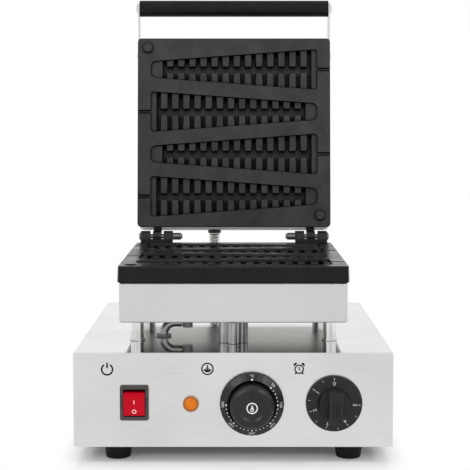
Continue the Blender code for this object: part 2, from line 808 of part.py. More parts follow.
def build_feet(base):
    """Four tapered rubber feet, each with the screw that is pressed into it."""
    seat = FOOT_BORE_DEPTH
    tip = FOOT_HEIGHT + FOOT_SCREW_REACH
    profile = (
        (0, seat - FOOT_SCREW_HEAD),
        (FOOT_SCREW_HEAD_RADIUS * HEAD_TOP_SHARE, seat - FOOT_SCREW_HEAD),
        (FOOT_SCREW_HEAD_RADIUS, seat - FOOT_SCREW_HEAD * HEAD_EDGE_SHARE),
        (FOOT_SCREW_HEAD_RADIUS, seat),
        (FOOT_BORE_RADIUS, seat),
        (FOOT_BORE_RADIUS, 0),
        (FOOT_BOTTOM_RADIUS - FOOT_EDGE, 0),
        (FOOT_BOTTOM_RADIUS - FOOT_EDGE / 4, FOOT_EDGE / 4),
        (FOOT_BOTTOM_RADIUS, FOOT_EDGE),
        (FOOT_TOP_RADIUS, FOOT_HEIGHT - SEAT),
        (FOOT_SCREW_RADIUS, FOOT_HEIGHT - SEAT),
        (FOOT_SCREW_RADIUS, tip),
        (0, tip),
    )
    for name, (x, y) in foot_places().items():
        shape = bmesh.new()
        add_turned(shape, profile, ROUND)
        add_piece(name, shape, BLACK_RUBBER, base, (x, y, 0))


def build_posts(base):
    """Four spacers that carry the lower iron, each with its bolt head, shank and nut."""
    low = BODY_TOP + SEAT
    high = HOUSING_BOTTOM - SEAT
    head = BODY_TOP - SHEET - SEAT
    nut = HOUSING_BOTTOM + SHEET + SEAT
    nut_top = nut + POST_NUT_HEIGHT
    profile = (
        (0, head - POST_BOLT_HEAD),
        (POST_BOLT_HEAD_RADIUS, head - POST_BOLT_HEAD),
        (POST_BOLT_HEAD_RADIUS, head),
        (POST_BOLT_RADIUS, head),
        (POST_BOLT_RADIUS, low),
        (POST_FOOT_RADIUS, low),
        (POST_FOOT_RADIUS, low + POST_FOOT_HEIGHT),
        (POST_RADIUS, low + POST_FOOT_HEIGHT),
        (POST_RADIUS, high),
        (POST_BOLT_RADIUS, high),
        (POST_BOLT_RADIUS, nut),
        (POST_BOLT_HEAD_RADIUS, nut),
        (POST_BOLT_HEAD_RADIUS, nut_top),
        (POST_BOLT_RADIUS, nut_top),
        (POST_BOLT_RADIUS, nut_top + POST_BOLT_TIP),
        (0, nut_top + POST_BOLT_TIP),
    )
    for name, (x, y) in post_places().items():
        shape = bmesh.new()
        add_turned(shape, profile, ROUND_SMALL)
        add_piece(name, shape, BRIGHT_STEEL, base, (x, y, 0))


def duct_outline(inset):
    """Duct section with a half-round bead on its front, drawn in by the wall for the inside."""
    half = DUCT_WIDTH / 2 - inset
    front = DUCT_FRONT_Y + inset
    rear = DUCT_FRONT_Y + DUCT_DEPTH - inset
    bead = DUCT_BEAD_RADIUS - inset
    points = [(half, front), (half, rear), (-half, rear), (-half, front)]
    steps = ROUND_SMALL / 2
    for step in range(int(steps) + 1):
        angle = math.pi + math.pi * step / steps
        points.append((bead * math.cos(angle), front + bead * math.sin(angle)))
    return points


def build_wire_duct(base):
    """Folded duct that takes the wires from the body up into the lower iron."""
    low = BODY_TOP + SEAT
    high = HOUSING_BOTTOM - SEAT
    rings = [
        ring(duct_outline(0), low),
        ring(duct_outline(0), high),
        ring(duct_outline(DUCT_WALL), high),
        ring(duct_outline(DUCT_WALL), low),
    ]
    shape = bmesh.new()
    add_loft(shape, rings, cyclic=True)
    add_piece("wire_duct", shape, BRIGHT_STEEL, base)


def build_conduit(base):
    """Braided conduit from the top of the body to a gland under the lower iron."""
    height = BODY_TOP + CONDUIT_RISE
    bend = CONDUIT_BEND
    rise_top = height - bend
    grommet_top = BODY_TOP + GROMMET_LIP_HEIGHT
    points = [(CONDUIT_X, CONDUIT_Y, BODY_TOP - SHEET), (CONDUIT_X, CONDUIT_Y, rise_top)]
    bend_steps = 5
    for step in range(1, bend_steps + 1):
        angle = math.pi / 2 * step / bend_steps
        points.append(
            (
                CONDUIT_X + bend * (1 - math.cos(angle)),
                CONDUIT_Y,
                rise_top + bend * math.sin(angle),
            )
        )
    gland_side = GLAND_X - GLAND_RADIUS - SEAT
    points.append((gland_side, CONDUIT_Y, height))
    add_tube("heater_conduit", points, [CONDUIT_RADIUS] * len(points), STEEL, base, 3)
    low = HOUSING_BOTTOM - SEAT - GLAND_HEIGHT
    high = HOUSING_BOTTOM - SEAT
    top = HOUSING_BOTTOM + SHEET + SEAT + GLAND_NUT_HEIGHT
    profile = (
        (0, low),
        (GLAND_RADIUS, low),
        (GLAND_RADIUS, high),
        (GLAND_THREAD_RADIUS, high),
        (GLAND_THREAD_RADIUS, top),
        (0, top),
    )
    shape = bmesh.new()
    add_turned(shape, profile, ROUND_SMALL)
    add_piece("conduit_gland", shape, BLACK_PLASTIC, base, (GLAND_X, CONDUIT_Y, 0))
    hole = CONDUIT_RADIUS + GROMMET_LIP - SEAT
    inner = CONDUIT_RADIUS + SEAT
    lip = CONDUIT_RADIUS + 2 * GROMMET_LIP
    profile = (
        (inner, BODY_TOP - SHEET),
        (hole, BODY_TOP - SHEET),
        (hole, BODY_TOP + SEAT),
        (lip, BODY_TOP + SEAT),
        (lip, grommet_top),
        (inner, grommet_top),
    )
    shape = bmesh.new()
    add_turned(shape, profile, ROUND_SMALL, closed=True)
    add_piece("conduit_grommet", shape, BLACK_RUBBER, base, (CONDUIT_X, CONDUIT_Y, 0))


def build_lower_housing(base):
    """Steel pan of the lower iron with a flange turned in under the plate."""
    low = HOUSING_BOTTOM
    high = HOUSING_TOP
    levels = (
        (FOLD_RADIUS, low),
        (FOLD_RADIUS / 3, low + FOLD_RADIUS / 3),
        (0, low + FOLD_RADIUS),
        (0, high - FOLD_RADIUS),
        (FOLD_RADIUS / 3, high - FOLD_RADIUS / 3),
        (FOLD_RADIUS, high),
        (HOUSING_FLANGE, high),
        (HOUSING_FLANGE, high - SHEET),
        (SHEET, high - SHEET),
        (SHEET, low + SHEET),
    )
    shape = bmesh.new()
    add_loft(shape, pan_rings(HOUSING_WIDTH, HOUSING_DEPTH, HOUSING_CORNER, levels))
    housing = add_piece("lower_housing", shape, STEEL, base)
    holes = bmesh.new()
    through = SHEET + OVERRUN
    floor_holes = [(x, y, POST_BOLT_RADIUS + HOLE_CLEARANCE) for x, y in post_places().values()]
    floor_holes.append((GLAND_X, CONDUIT_Y, GLAND_THREAD_RADIUS + HOLE_CLEARANCE))
    floor_holes.append((0, duct_middle(), DUCT_HOLE_RADIUS))
    for x, y, radius in floor_holes:
        add_cylinder(holes, radius, low - OVERRUN, low + through, ROUND_TINY, at(x, y, 0))
    radius = BRACKET_SCREW_RADIUS + HOLE_CLEARANCE
    for x, z in bracket_screw_places():
        place = at(x, HOUSING_DEPTH / 2, z) @ TO_REAR
        add_cylinder(holes, radius, -through, OVERRUN, ROUND_TINY, place)
    radius = PLATE_SCREW_RADIUS + HOLE_CLEARANCE
    for x, y in plate_screw_places(0):
        add_cylinder(holes, radius, high - through, high + OVERRUN, ROUND_TINY, at(x, y, 0))
    add_boolean(housing, "holes", holes)


def bracket_screw_places():
    """Screws that hold the hinge brackets to the rear wall of the lower iron."""
    height = HOUSING_TOP - BRACKET_SCREW_DROP
    return [
        (side * HINGE_X + step * BRACKET_SCREW_X, height) for side in (-1, 1) for step in (-1, 1)
    ]


def plate_screw_places(centre_y):
    """Screws through the flange of a pan into its plate."""
    side = HOUSING_WIDTH / 2 - HOUSING_FLANGE / 2
    return [
        (x, centre_y + y) for x in (-side, side) for y in (-PLATE_SCREW_Y, PLATE_SCREW_Y)
    ]


def shield_bolt_places(centre_y):
    """Bolts that hold a heat shield and its heater to the plate."""
    return [
        (x, centre_y + y)
        for x in (-SHIELD_BOLT_X, SHIELD_BOLT_X)
        for y in (-SHIELD_BOLT_Y, SHIELD_BOLT_Y)
    ]


def rounded_polygon(corners, radii, steps):
    """Outline whose corners are replaced by arcs of their own radii."""
    points = []
    for index, corner in enumerate(corners):
        here = Vector(corner)
        back = (Vector(corners[index - 1]) - here).normalized()
        ahead = (Vector(corners[(index + 1) % len(corners)]) - here).normalized()
        half = back.angle(ahead) / 2
        centre = here + (back + ahead).normalized() * radii[index] / math.sin(half)
        start = here + back * radii[index] / math.tan(half) - centre
        end = here + ahead * radii[index] / math.tan(half) - centre
        turn = start.angle_signed(end)
        for step in range(steps + 1):
            spoke = start.copy()
            spoke.rotate(Matrix.Rotation(-turn * step / steps, 2))
            points.append(tuple(centre + spoke))
    return points


def cavity_half_width(along):
    """Half the width of a cavity at a distance from its wide end."""
    share = along / CAVITY_LENGTH
    return (CAVITY_WIDE + (CAVITY_NARROW - CAVITY_WIDE) * share) / 2


def cavity_outline(inset):
    """Tapering outline of a cavity from its wide end, drawn in by an inset."""
    near = inset
    far = CAVITY_LENGTH - inset
    wide = cavity_half_width(near) - inset
    narrow = cavity_half_width(far) - inset
    corners = ((near, -wide), (far, -narrow), (far, narrow), (near, wide))
    radii = [radius - inset for radius in (
        CAVITY_WIDE_CORNER, CAVITY_TIP_CORNER, CAVITY_TIP_CORNER, CAVITY_WIDE_CORNER
    )]
    return rounded_polygon(corners, radii, 3)


def comb_outline(inset):
    """Middle channel with a branch between each pair of blocks, out to the ledge along the wall."""
    channel = CHANNEL_WIDTH / 2 - inset
    step = BLOCK_LENGTH + BLOCK_GAP
    upper = []
    for index in range(BLOCK_COUNT + 1):
        near = WIDE_STRIP + index * step + inset
        far = near + BLOCK_GAP - 2 * inset
        if index > 0:
            upper.append((near, channel))
        upper.append((near, cavity_half_width(near) - WALL_LEDGE - inset))
        upper.append((far, cavity_half_width(far) - WALL_LEDGE - inset))
        if index < BLOCK_COUNT:
            upper.append((far, channel))
    return upper + [(along, -across) for along, across in reversed(upper)]


def cavity_places(centre_y):
    """Side of the wide end and middle line of each cavity."""
    front = centre_y - PLATE_DEPTH / 2
    return [
        (1 if index % 2 == 0 else -1, front + CAVITY_FIRST + index * CAVITY_PITCH)
        for index in range(CAVITY_COUNT)
    ]


def placed_outline(outline, side, middle_y, height):
    """Cavity outline in the frame of its plate."""
    return [
        (side * (CAVITY_LENGTH / 2 - along), middle_y + across, height)
        for along, across in outline
    ]


def boss_places(centre_y):
    """Locating bosses of the upper plate."""
    return (
        (BOSS_LEFT_X, centre_y - PLATE_DEPTH / 2 + BOSS_LEFT_FROM_FRONT),
        (BOSS_RIGHT_X, centre_y + PLATE_DEPTH / 2 - BOSS_RIGHT_FROM_REAR),
    )


def build_plate(name, parent, centre_y, face, inward, back_holes):
    """Cast waffle plate: inward is the sign of Z from its baking face to its back."""
    back = face + inward * PLATE_HEIGHT
    levels = (
        (PLATE_EDGE - PLATE_DRAFT, back),
        (-PLATE_DRAFT, back - inward * PLATE_EDGE),
        (0, face + inward * PLATE_EDGE),
        (PLATE_EDGE, face),
    )
    shape = bmesh.new()
    add_loft(shape, pan_rings(PLATE_WIDTH, PLATE_DEPTH, PLATE_CORNER, levels, (0, centre_y)))
    plate = add_piece(name, shape, COATED_IRON, parent)
    shallow = bmesh.new()
    deep = bmesh.new()
    details = bmesh.new()
    for side, middle in cavity_places(centre_y):
        spread = -CAVITY_DRAFT * OVERRUN / CAVITY_SHALLOW
        add_loft(
            shallow,
            [
                placed_outline(cavity_outline(spread), side, middle, face - inward * OVERRUN),
                placed_outline(
                    cavity_outline(CAVITY_DRAFT), side, middle, face + inward * CAVITY_SHALLOW
                ),
            ],
        )
        add_loft(
            deep,
            [
                placed_outline(comb_outline(0), side, middle, face + inward * CAVITY_SHALLOW / 2),
                placed_outline(
                    comb_outline(CAVITY_DRAFT), side, middle, face + inward * CAVITY_DEEP
                ),
            ],
        )
        reach = sorted((
            side * (CAVITY_LENGTH / 2 - CAVITY_SHALLOW),
            side * (PLATE_WIDTH / 2 + OVERRUN),
        ))
        turned = at(0, middle, face) @ ALONG_X @ Matrix.Rotation(math.pi / ROUND_TINY, 4, "Z")
        add_cylinder(details, STICK_RADIUS, *reach, ROUND_TINY, turned)
    for x, y, radius, bite in back_holes:
        low, high = sorted((back + inward * OVERRUN, back - inward * (bite + SEAT)))
        add_cylinder(details, radius + HOLE_CLEARANCE, low, high, ROUND_TINY, at(x, y, 0))
    if inward < 0:
        for x, y in boss_places(centre_y):
            radius = BOSS_RADIUS + SOCKET_CLEARANCE
            add_cylinder(
                details, radius, face - SOCKET_DEPTH, face + OVERRUN, ROUND, at(x, y, 0)
            )
    add_boolean(plate, "shallow", shallow)
    add_boolean(plate, "deep", deep)
    add_boolean(plate, "details", details)
    if inward > 0:
        bosses = bmesh.new()
        profile = (
            (0, face - BOSS_HEIGHT),
            (BOSS_RADIUS - BOSS_CHAMFER, face - BOSS_HEIGHT),
            (BOSS_RADIUS, face - BOSS_HEIGHT + BOSS_CHAMFER),
            (BOSS_RADIUS, face + BOSS_HEIGHT),
            (0, face + BOSS_HEIGHT),
        )
        for x, y in boss_places(centre_y):
            add_turned(bosses, profile, ROUND, matrix=at(x, y, 0))
        add_boolean(plate, "bosses", bosses, "UNION")
    return plate


def heater_route(centre_y, height):
    """Serpentine of the heating element, with both ends on the left."""
    bend = HEATER_PITCH / 2
    first = centre_y - (HEATER_RUNS - 1) * bend
    bend_steps = 6
    points = [(-HEATER_HALF_RUN - bend, first, height)]
    side = 1
    for run in range(HEATER_RUNS - 1):
        middle = first + run * HEATER_PITCH + bend
        for step in range(bend_steps + 1):
            angle = math.pi * step / bend_steps
            points.append(
                (
                    side * (HEATER_HALF_RUN + bend * math.sin(angle)),
                    middle - bend * math.cos(angle),
                    height,
                )
            )
        side = -side
    points.append((-HEATER_HALF_RUN - bend, first + (HEATER_RUNS - 1) * HEATER_PITCH, height))
    return points


def capillary_hole():
    """Where the capillary rises to its bulb."""
    return (-BULB_LENGTH / 2 - 3 * BULB_RADIUS, 0)


def build_iron_inside(prefix, parent, centre_y, plane, away, extra_holes):
    """Heater, heat shield, insulation and their bolts behind a plate whose back is at a plane."""
    turn = Matrix() if away > 0 else Matrix.Rotation(math.pi, 4, "X")
    middle = plane + away * (SEAT + HEATER_RADIUS)
    route = heater_route(centre_y, middle)
    add_tube(prefix + "_heater", route, [HEATER_RADIUS] * len(route), BRIGHT_STEEL, parent)
    near = plane + away * 2 * (SEAT + HEATER_RADIUS)
    far = near + away * SHIELD_SHEET
    width = HOUSING_WIDTH - 2 * (SHEET + SHIELD_MARGIN)
    depth = HOUSING_DEPTH - 2 * (SHEET + SHIELD_MARGIN)
    shape = bmesh.new()
    outline = rounded_rectangle(width, depth, HOUSING_CORNER, (0, centre_y))
    add_prism(shape, outline, *sorted((near, far)))
    shield = add_piece(prefix + "_heat_shield", shape, STEEL, parent)
    low, high = sorted((near - away * OVERRUN, far + away * OVERRUN))
    for x, y, radius in extra_holes:
        holes = bmesh.new()
        add_cylinder(holes, radius, low, high, ROUND_TINY, at(x, y, 0))
        add_boolean(shield, "hole", holes)
    bolts = bmesh.new()
    for x, y in shield_bolt_places(centre_y):
        length = abs(far - plane) + SHIELD_BOLT_BITE
        add_bolt(
            bolts,
            at(x, y, far) @ turn,
            SHIELD_BOLT_RADIUS,
            SHIELD_BOLT_HEAD_RADIUS,
            SHIELD_BOLT_HEAD,
            length,
        )
    add_boolean(shield, "bolts", bolts, "UNION")
    near = far + away * SEAT
    far = near + away * INSULATION_HEIGHT
    width = HOUSING_WIDTH - 2 * (SHEET + INSULATION_MARGIN)
    depth = HOUSING_DEPTH - 2 * (SHEET + INSULATION_MARGIN)
    shape = bmesh.new()
    outline = rounded_rectangle(width, depth, HOUSING_CORNER, (0, centre_y))
    add_prism(shape, outline, *sorted((near, far)))
    pad = add_piece(prefix + "_insulation", shape, FIBRE, parent)
    holes = bmesh.new()
    low, high = sorted((near - away * OVERRUN, far + away * OVERRUN))
    for x, y in shield_bolt_places(centre_y):
        radius = SHIELD_BOLT_HEAD_RADIUS + INSULATION_HOLE_CLEARANCE
        add_cylinder(holes, radius, low, high, ROUND_TINY, at(x, y, 0))
    for x, y, radius in extra_holes:
        add_cylinder(holes, radius, low, high, ROUND_TINY, at(x, y, 0))
    add_boolean(pad, "holes", holes)


def build_lower_iron(base):
    """Lower plate with what is under it."""
    back_holes = [(x, y, SHIELD_BOLT_RADIUS, SHIELD_BOLT_BITE) for x, y in shield_bolt_places(0)]
    plate = build_plate("lower_plate", base, 0, PLATE_TOP, -1, back_holes)
    hole = (*capillary_hole(), 2 * BULB_RADIUS)
    build_iron_inside("lower", base, 0, PLATE_BOTTOM, -1, [hole])
    screws = bmesh.new()
    turn = Matrix.Rotation(math.pi, 4, "X")
    for x, y in plate_screw_places(0):
        place = at(x, y, HOUSING_TOP - SHEET) @ turn
        length = SHEET + SEAT + PLATE_SCREW_BITE
        add_screw(
            screws, place, PLATE_SCREW_RADIUS, PLATE_SCREW_HEAD_RADIUS, PLATE_SCREW_HEAD, length,
            HEX, SEAT,
        )
    add_boolean(plate, "screws", screws, "UNION")


def arc_points(radius, start, end, steps, centre=(0, 0)):
    """Points along an arc, angles in radians."""
    points = []
    for step in range(steps + 1):
        angle = start + (end - start) * step / steps
        points.append(
            (centre[0] + radius * math.cos(angle), centre[1] + radius * math.sin(angle))
        )
    return points


def outward(side):
    """Turn that points local Z away from the middle, along X."""
    return Matrix.Rotation(side * math.pi / 2, 4, "Y")


def build_hinge_bracket(base, name, side):
    """Cast bracket on the lower iron: a pad, a web and two knuckles."""
    pad_front = HOUSING_DEPTH / 2 + SEAT - HINGE_Y
    pad_top = HOUSING_TOP - HINGE_Z - 2 * SEAT
    pad_low = pad_top - BRACKET_PAD_HEIGHT
    place = at(side * HINGE_X, HINGE_Y, HINGE_Z)
    web = (
        (pad_front, pad_low),
        (WEB_REAR, pad_low),
        (WEB_REAR, -BRACKET_WEB_DROP),
        (WEB_FRONT, -BRACKET_WEB_DROP),
        (WEB_FRONT, pad_top),
        (pad_front, pad_top),
    )
    shape = bmesh.new()
    half = HINGE_HALF - SEAT
    add_prism(shape, web, -half, half, place @ PROFILE_ALONG_X)
    bracket = add_piece(name, shape, COATED_IRON, base)
    lug = [(WEB_FRONT + SEAT, -BRACKET_GUSSET), (WEB_FRONT + SEAT, -BRACKET_WEB_DROP - SEAT)]
    lug += arc_points(HINGE_RADIUS, math.radians(165), math.radians(-30), 9)
    lug.append((WEB_REAR - SEAT, -BRACKET_GUSSET))
    lugs = bmesh.new()
    inner = HINGE_LUG_X - HINGE_LUG / 2
    add_prism(lugs, lug, -HINGE_HALF, -inner, place @ PROFILE_ALONG_X)
    add_prism(lugs, lug, inner, HINGE_HALF, place @ PROFILE_ALONG_X)
    add_boolean(bracket, "lugs", lugs, "UNION")
    holes = bmesh.new()
    reach = HINGE_HALF + OVERRUN
    radius = HINGE_PIN_RADIUS + HOLE_CLEARANCE
    add_cylinder(holes, radius, -reach, reach, ROUND_SMALL, place @ ALONG_X)
    add_boolean(bracket, "bore", holes)
    screws = bmesh.new()
    length = WEB_REAR - pad_front + SEAT + SHEET + COVER_SCREW_REACH
    for x, z in bracket_screw_places():
        if x * side > 0:
            add_screw(
                screws, at(x, HINGE_Y + WEB_REAR, z) @ TO_REAR, BRACKET_SCREW_RADIUS,
                BRACKET_SCREW_HEAD_RADIUS, BRACKET_SCREW_HEAD, length, HEX,
            )
    add_boolean(bracket, "screws", screws, "UNION")


def build_hinges(base):
    """Brackets with their screws, and the pins with their nuts."""
    face = HINGE_HALF + SEAT
    end = face + HINGE_NUT_LENGTH
    pin = (
        (0, face + HINGE_PIN_HEAD),
        (HINGE_PIN_HEAD_RADIUS * HEAD_TOP_SHARE, face + HINGE_PIN_HEAD),
        (HINGE_PIN_HEAD_RADIUS, face + HINGE_PIN_HEAD * HEAD_EDGE_SHARE),
        (HINGE_PIN_HEAD_RADIUS, face),
        (HINGE_PIN_RADIUS, face),
        (HINGE_PIN_RADIUS, -face),
        (HINGE_NUT_RADIUS, -face),
        (HINGE_NUT_RADIUS, -end),
        (HINGE_PIN_RADIUS, -end),
        (HINGE_PIN_RADIUS, -end - HINGE_PIN_TIP),
        (0, -end - HINGE_PIN_TIP),
    )
    for label, side in SIDES.items():
        build_hinge_bracket(base, "hinge_bracket_" + label, side)
        shape = bmesh.new()
        place = at(side * HINGE_X, HINGE_Y, HINGE_Z) @ outward(side)
        add_turned(shape, pin, ROUND_SMALL, matrix=place)
        add_piece("hinge_pin_" + label, shape, BRIGHT_STEEL, base)


def hinge_arm_screw_places():
    """Screws that hold the hinge arms to the back of the upper plate."""
    far = HINGE_ARM_SCREW_FROM_END - HINGE_ARM_REACH
    return [
        (side * HINGE_X, y) for side in SIDES.values() for y in (far, far + HINGE_ARM_SCREW_STEP)
    ]


def build_hinge_arms(lid):
    """Middle knuckles, each with a root and a foot on the back of the upper plate."""
    start = math.acos(HINGE_ARM_ROOT / HINGE_RADIUS)
    foot_top = LID_BOTTOM + HINGE_ARM_FOOT
    outline = [(-HINGE_ARM_REACH, LID_BOTTOM), (-HINGE_ARM_REACH, foot_top)]
    outline.append((HINGE_ARM_ROOT - HINGE_ARM_FOOT / 4, foot_top))
    outline.append((HINGE_ARM_ROOT, foot_top - HINGE_ARM_FOOT / 4))
    outline += arc_points(HINGE_RADIUS, start, -math.pi - start, 12)
    outline.append((-HINGE_ARM_ROOT, LID_BOTTOM))
    for label, side in SIDES.items():
        shape = bmesh.new()
        place = at(side * HINGE_X, 0, 0)
        half = HINGE_MIDDLE / 2
        add_prism(shape, outline, -half, half, place @ PROFILE_ALONG_X)
        arm = add_piece("hinge_arm_" + label, shape, COATED_IRON, lid)
        holes = bmesh.new()
        reach = half + OVERRUN
        radius = HINGE_PIN_RADIUS + RUN_GAP
        add_cylinder(holes, radius, -reach, reach, ROUND_SMALL, place @ ALONG_X)
        add_boolean(arm, "bore", holes)
        screws = bmesh.new()
        length = HINGE_ARM_FOOT + SEAT + SHIELD_BOLT_BITE
        for x, y in hinge_arm_screw_places():
            if x * side > 0:
                add_screw(
                    screws, at(x, y, foot_top), PLATE_SCREW_RADIUS, PLATE_SCREW_HEAD_RADIUS,
                    PLATE_SCREW_HEAD, length, HEX,
                )
        add_boolean(arm, "screws", screws, "UNION")


def lid_cover_screw_places():
    """Screws that hold the cover to the top flange of the lid's pan."""
    side = HOUSING_WIDTH / 2 - LID_TOP_FLANGE / 2
    return [
        (x, LID_MIDDLE_Y + y) for x in (-side, side) for y in (-LID_COVER_SCREW_Y, LID_COVER_SCREW_Y)
    ]


def handle_arm_line():
    """Ends of the middle line of a handle arm, and its screw, as (y, z)."""
    tail_y = LID_FRONT_Y + HANDLE_ARM_TAIL - HANDLE_ARM_WIDTH / 2
    tail = (tail_y, GRIP_Z + HANDLE_ARM_RISE)
    screw_y = LID_FRONT_Y + HANDLE_ARM_SCREW_BACK
    share = (screw_y - GRIP_Y) / (tail_y - GRIP_Y)
    return (GRIP_Y, GRIP_Z), tail, (screw_y, GRIP_Z + HANDLE_ARM_RISE * share)


def build_lid_housing(lid):
    """Steel frame of the lid with flanges turned in at the plate and at the cover."""
    low = LID_BOTTOM
    top = LID_TOP
    levels = (
        (FOLD_RADIUS, low),
        (FOLD_RADIUS / 3, low + FOLD_RADIUS / 3),
        (0, low + FOLD_RADIUS),
        (0, top - FOLD_RADIUS),
        (FOLD_RADIUS / 3, top - FOLD_RADIUS / 3),
        (FOLD_RADIUS, top),
        (LID_TOP_FLANGE, top),
        (LID_TOP_FLANGE, top - SHEET),
        (SHEET, top - SHEET),
        (SHEET, low + SHEET),
        (HOUSING_FLANGE, low + SHEET),
        (HOUSING_FLANGE, low),
    )
    shape = bmesh.new()
    middle = (0, LID_MIDDLE_Y)
    rings = pan_rings(HOUSING_WIDTH, LID_DEPTH, HOUSING_CORNER, levels, middle)
    add_loft(shape, rings, cyclic=True)
    housing = add_piece("lid_housing", shape, STEEL, lid)
    holes = bmesh.new()
    through = SHEET + OVERRUN
    for side in SIDES.values():
        add_box(
            holes,
            (
                side * HINGE_X - HINGE_MIDDLE / 2 - SEAT,
                LID_WALL_Y - HOUSING_FLANGE - OVERRUN,
                low - OVERRUN,
            ),
            (
                side * HINGE_X + HINGE_MIDDLE / 2 + SEAT,
                LID_WALL_Y + OVERRUN,
                low + HINGE_ARM_FOOT + SEAT,
            ),
        )
        y, z = handle_arm_line()[2]
        place = at(side * HOUSING_WIDTH / 2, y, z) @ outward(side)
        radius = ARM_SCREW_RADIUS + HOLE_CLEARANCE
        add_cylinder(holes, radius, -through, OVERRUN, ROUND_TINY, place)
    place = at(HOSE_X, LID_WALL_Y, HOSE_GLAND_T) @ TO_REAR
    add_cylinder(holes, HOSE_THREAD + HOLE_CLEARANCE, -through, OVERRUN, ROUND_SMALL, place)
    for x, y in lid_cover_screw_places():
        radius = LID_COVER_SCREW_RADIUS + HOLE_CLEARANCE
        add_cylinder(holes, radius, top - through, top + OVERRUN, ROUND_TINY, at(x, y, 0))
    for x, y in plate_screw_places(LID_CENTRE_Y):
        radius = PLATE_SCREW_RADIUS + HOLE_CLEARANCE
        add_cylinder(holes, radius, low - OVERRUN, low + through, ROUND_TINY, at(x, y, 0))
    add_boolean(housing, "holes", holes)
    shape = bmesh.new()
    over = 2 * LID_COVER_OVERHANG
    outline = rounded_rectangle(HOUSING_WIDTH + over, LID_DEPTH + over, HOUSING_CORNER, middle)
    low = top + SEAT
    high = low + LID_COVER_SHEET
    add_prism(shape, outline, low, high)
    cover = add_piece("lid_cover", shape, STEEL, lid)
    screws = bmesh.new()
    length = LID_COVER_SHEET + SEAT + LID_COVER_SCREW_REACH
    for x, y in lid_cover_screw_places():
        add_screw(
            screws, at(x, y, high), LID_COVER_SCREW_RADIUS, LID_COVER_SCREW_HEAD_RADIUS,
            LID_COVER_SCREW_HEAD, length, HEX,
        )
    add_boolean(cover, "screws", screws, "UNION")


def build_lid_iron(lid):
    """Upper plate with its screws and what is behind it."""
    back_holes = [
        (x, y, SHIELD_BOLT_RADIUS, SHIELD_BOLT_BITE) for x, y in shield_bolt_places(LID_CENTRE_Y)
    ]
    back_holes += [(x, y, PLATE_SCREW_RADIUS, SHIELD_BOLT_BITE) for x, y in hinge_arm_screw_places()]
    plate = build_plate("lid_plate", lid, LID_CENTRE_Y, LID_FACE, 1, back_holes)
    build_iron_inside("lid", lid, LID_CENTRE_Y, LID_BACK, 1, [])
    screws = bmesh.new()
    for x, y in plate_screw_places(LID_CENTRE_Y):
        length = SHEET + SEAT + PLATE_SCREW_BITE
        add_screw(
            screws, at(x, y, LID_BOTTOM + SHEET), PLATE_SCREW_RADIUS, PLATE_SCREW_HEAD_RADIUS,
            PLATE_SCREW_HEAD, length, ROUND_TINY, SEAT,
        )
    add_boolean(plate, "screws", screws, "UNION")


def capsule(start, end, radius, steps):
    """Outline with round ends between two points."""
    angle = math.atan2(end[1] - start[1], end[0] - start[0])
    quarter = math.pi / 2
    points = arc_points(radius, angle - quarter, angle + quarter, steps, end)
    return points + arc_points(radius, angle + quarter, angle + 3 * quarter, steps, start)


def build_handle(lid):
    """Two flat arms, a fluted grip and the rod through them."""
    grip, tail, screw = handle_arm_line()
    for label, side in SIDES.items():
        shape = bmesh.new()
        near = HOUSING_WIDTH / 2 + SEAT
        low, high = sorted((side * near, side * (near + HANDLE_ARM_SHEET)))
        outline = capsule(grip, tail, HANDLE_ARM_WIDTH / 2, 8)
        add_prism(shape, outline, low, high, PROFILE_ALONG_X)
        arm = add_piece("handle_arm_" + label, shape, STEEL, lid)
        holes = bmesh.new()
        holds = ((grip, HANDLE_ROD_RADIUS), (screw, ARM_SCREW_RADIUS))
        for (y, z), radius in holds:
            add_cylinder(
                holes, radius + HOLE_CLEARANCE, low - OVERRUN, high + OVERRUN, ROUND_SMALL,
                at(0, y, z) @ ALONG_X,
            )
        add_boolean(arm, "holes", holes)
        shape = bmesh.new()
        length = HANDLE_ARM_SHEET + SEAT + SHEET + ARM_SCREW_REACH
        place = at(side * (near + HANDLE_ARM_SHEET), *screw) @ outward(side)
        add_screw(
            shape, place, ARM_SCREW_RADIUS, ARM_SCREW_HEAD_RADIUS, ARM_SCREW_HEAD, length,
            seat=SEAT,
        )
        add_piece("arm_screw_" + label, shape, BRIGHT_STEEL, lid)
    half = HOUSING_WIDTH / 2
    edge = 2 * GRIP_FLUTE
    bore = HANDLE_ROD_RADIUS + HOLE_CLEARANCE
    count = 2 * GRIP_FLUTES

    def fluted(radius, height, flute):
        points = []
        for index in range(count):
            angle = math.tau * index / count
            reach = radius - (flute if index % 2 else 0)
            points.append((reach * math.cos(angle), reach * math.sin(angle), height))
        return points

    rings = [
        fluted(GRIP_RADIUS - edge, -half, GRIP_FLUTE),
        fluted(GRIP_RADIUS, -half + edge, GRIP_FLUTE),
        fluted(GRIP_RADIUS, half - edge, GRIP_FLUTE),
        fluted(GRIP_RADIUS - edge, half, GRIP_FLUTE),
        fluted(bore, half, 0),
        fluted(bore, -half, 0),
    ]
    shape = bmesh.new()
    add_loft(shape, rings, cyclic=True)
    add_piece(
        "handle_grip", shape, BLACK_PLASTIC, lid, (0, GRIP_Y, GRIP_Z), (0, math.pi / 2, 0)
    )
    seat = HOUSING_WIDTH / 2 + 2 * SEAT + HANDLE_ARM_SHEET
    end = [
        (HANDLE_ROD_RADIUS, seat),
        (HANDLE_DOME_RADIUS, seat),
        (HANDLE_DOME_RADIUS * HEAD_DOME_SHARE, seat + HANDLE_DOME * HEAD_TOP_SHARE),
        (HANDLE_DOME_RADIUS * HALF, seat + HANDLE_DOME),
        (0, seat + HANDLE_DOME),
    ]
    profile = [(radius, -height) for radius, height in reversed(end)] + end
    shape = bmesh.new()
    add_turned(shape, profile, ROUND_SMALL)
    add_piece(
        "handle_rod", shape, BRIGHT_STEEL, lid, (0, GRIP_Y, GRIP_Z), (0, math.pi / 2, 0)
    )


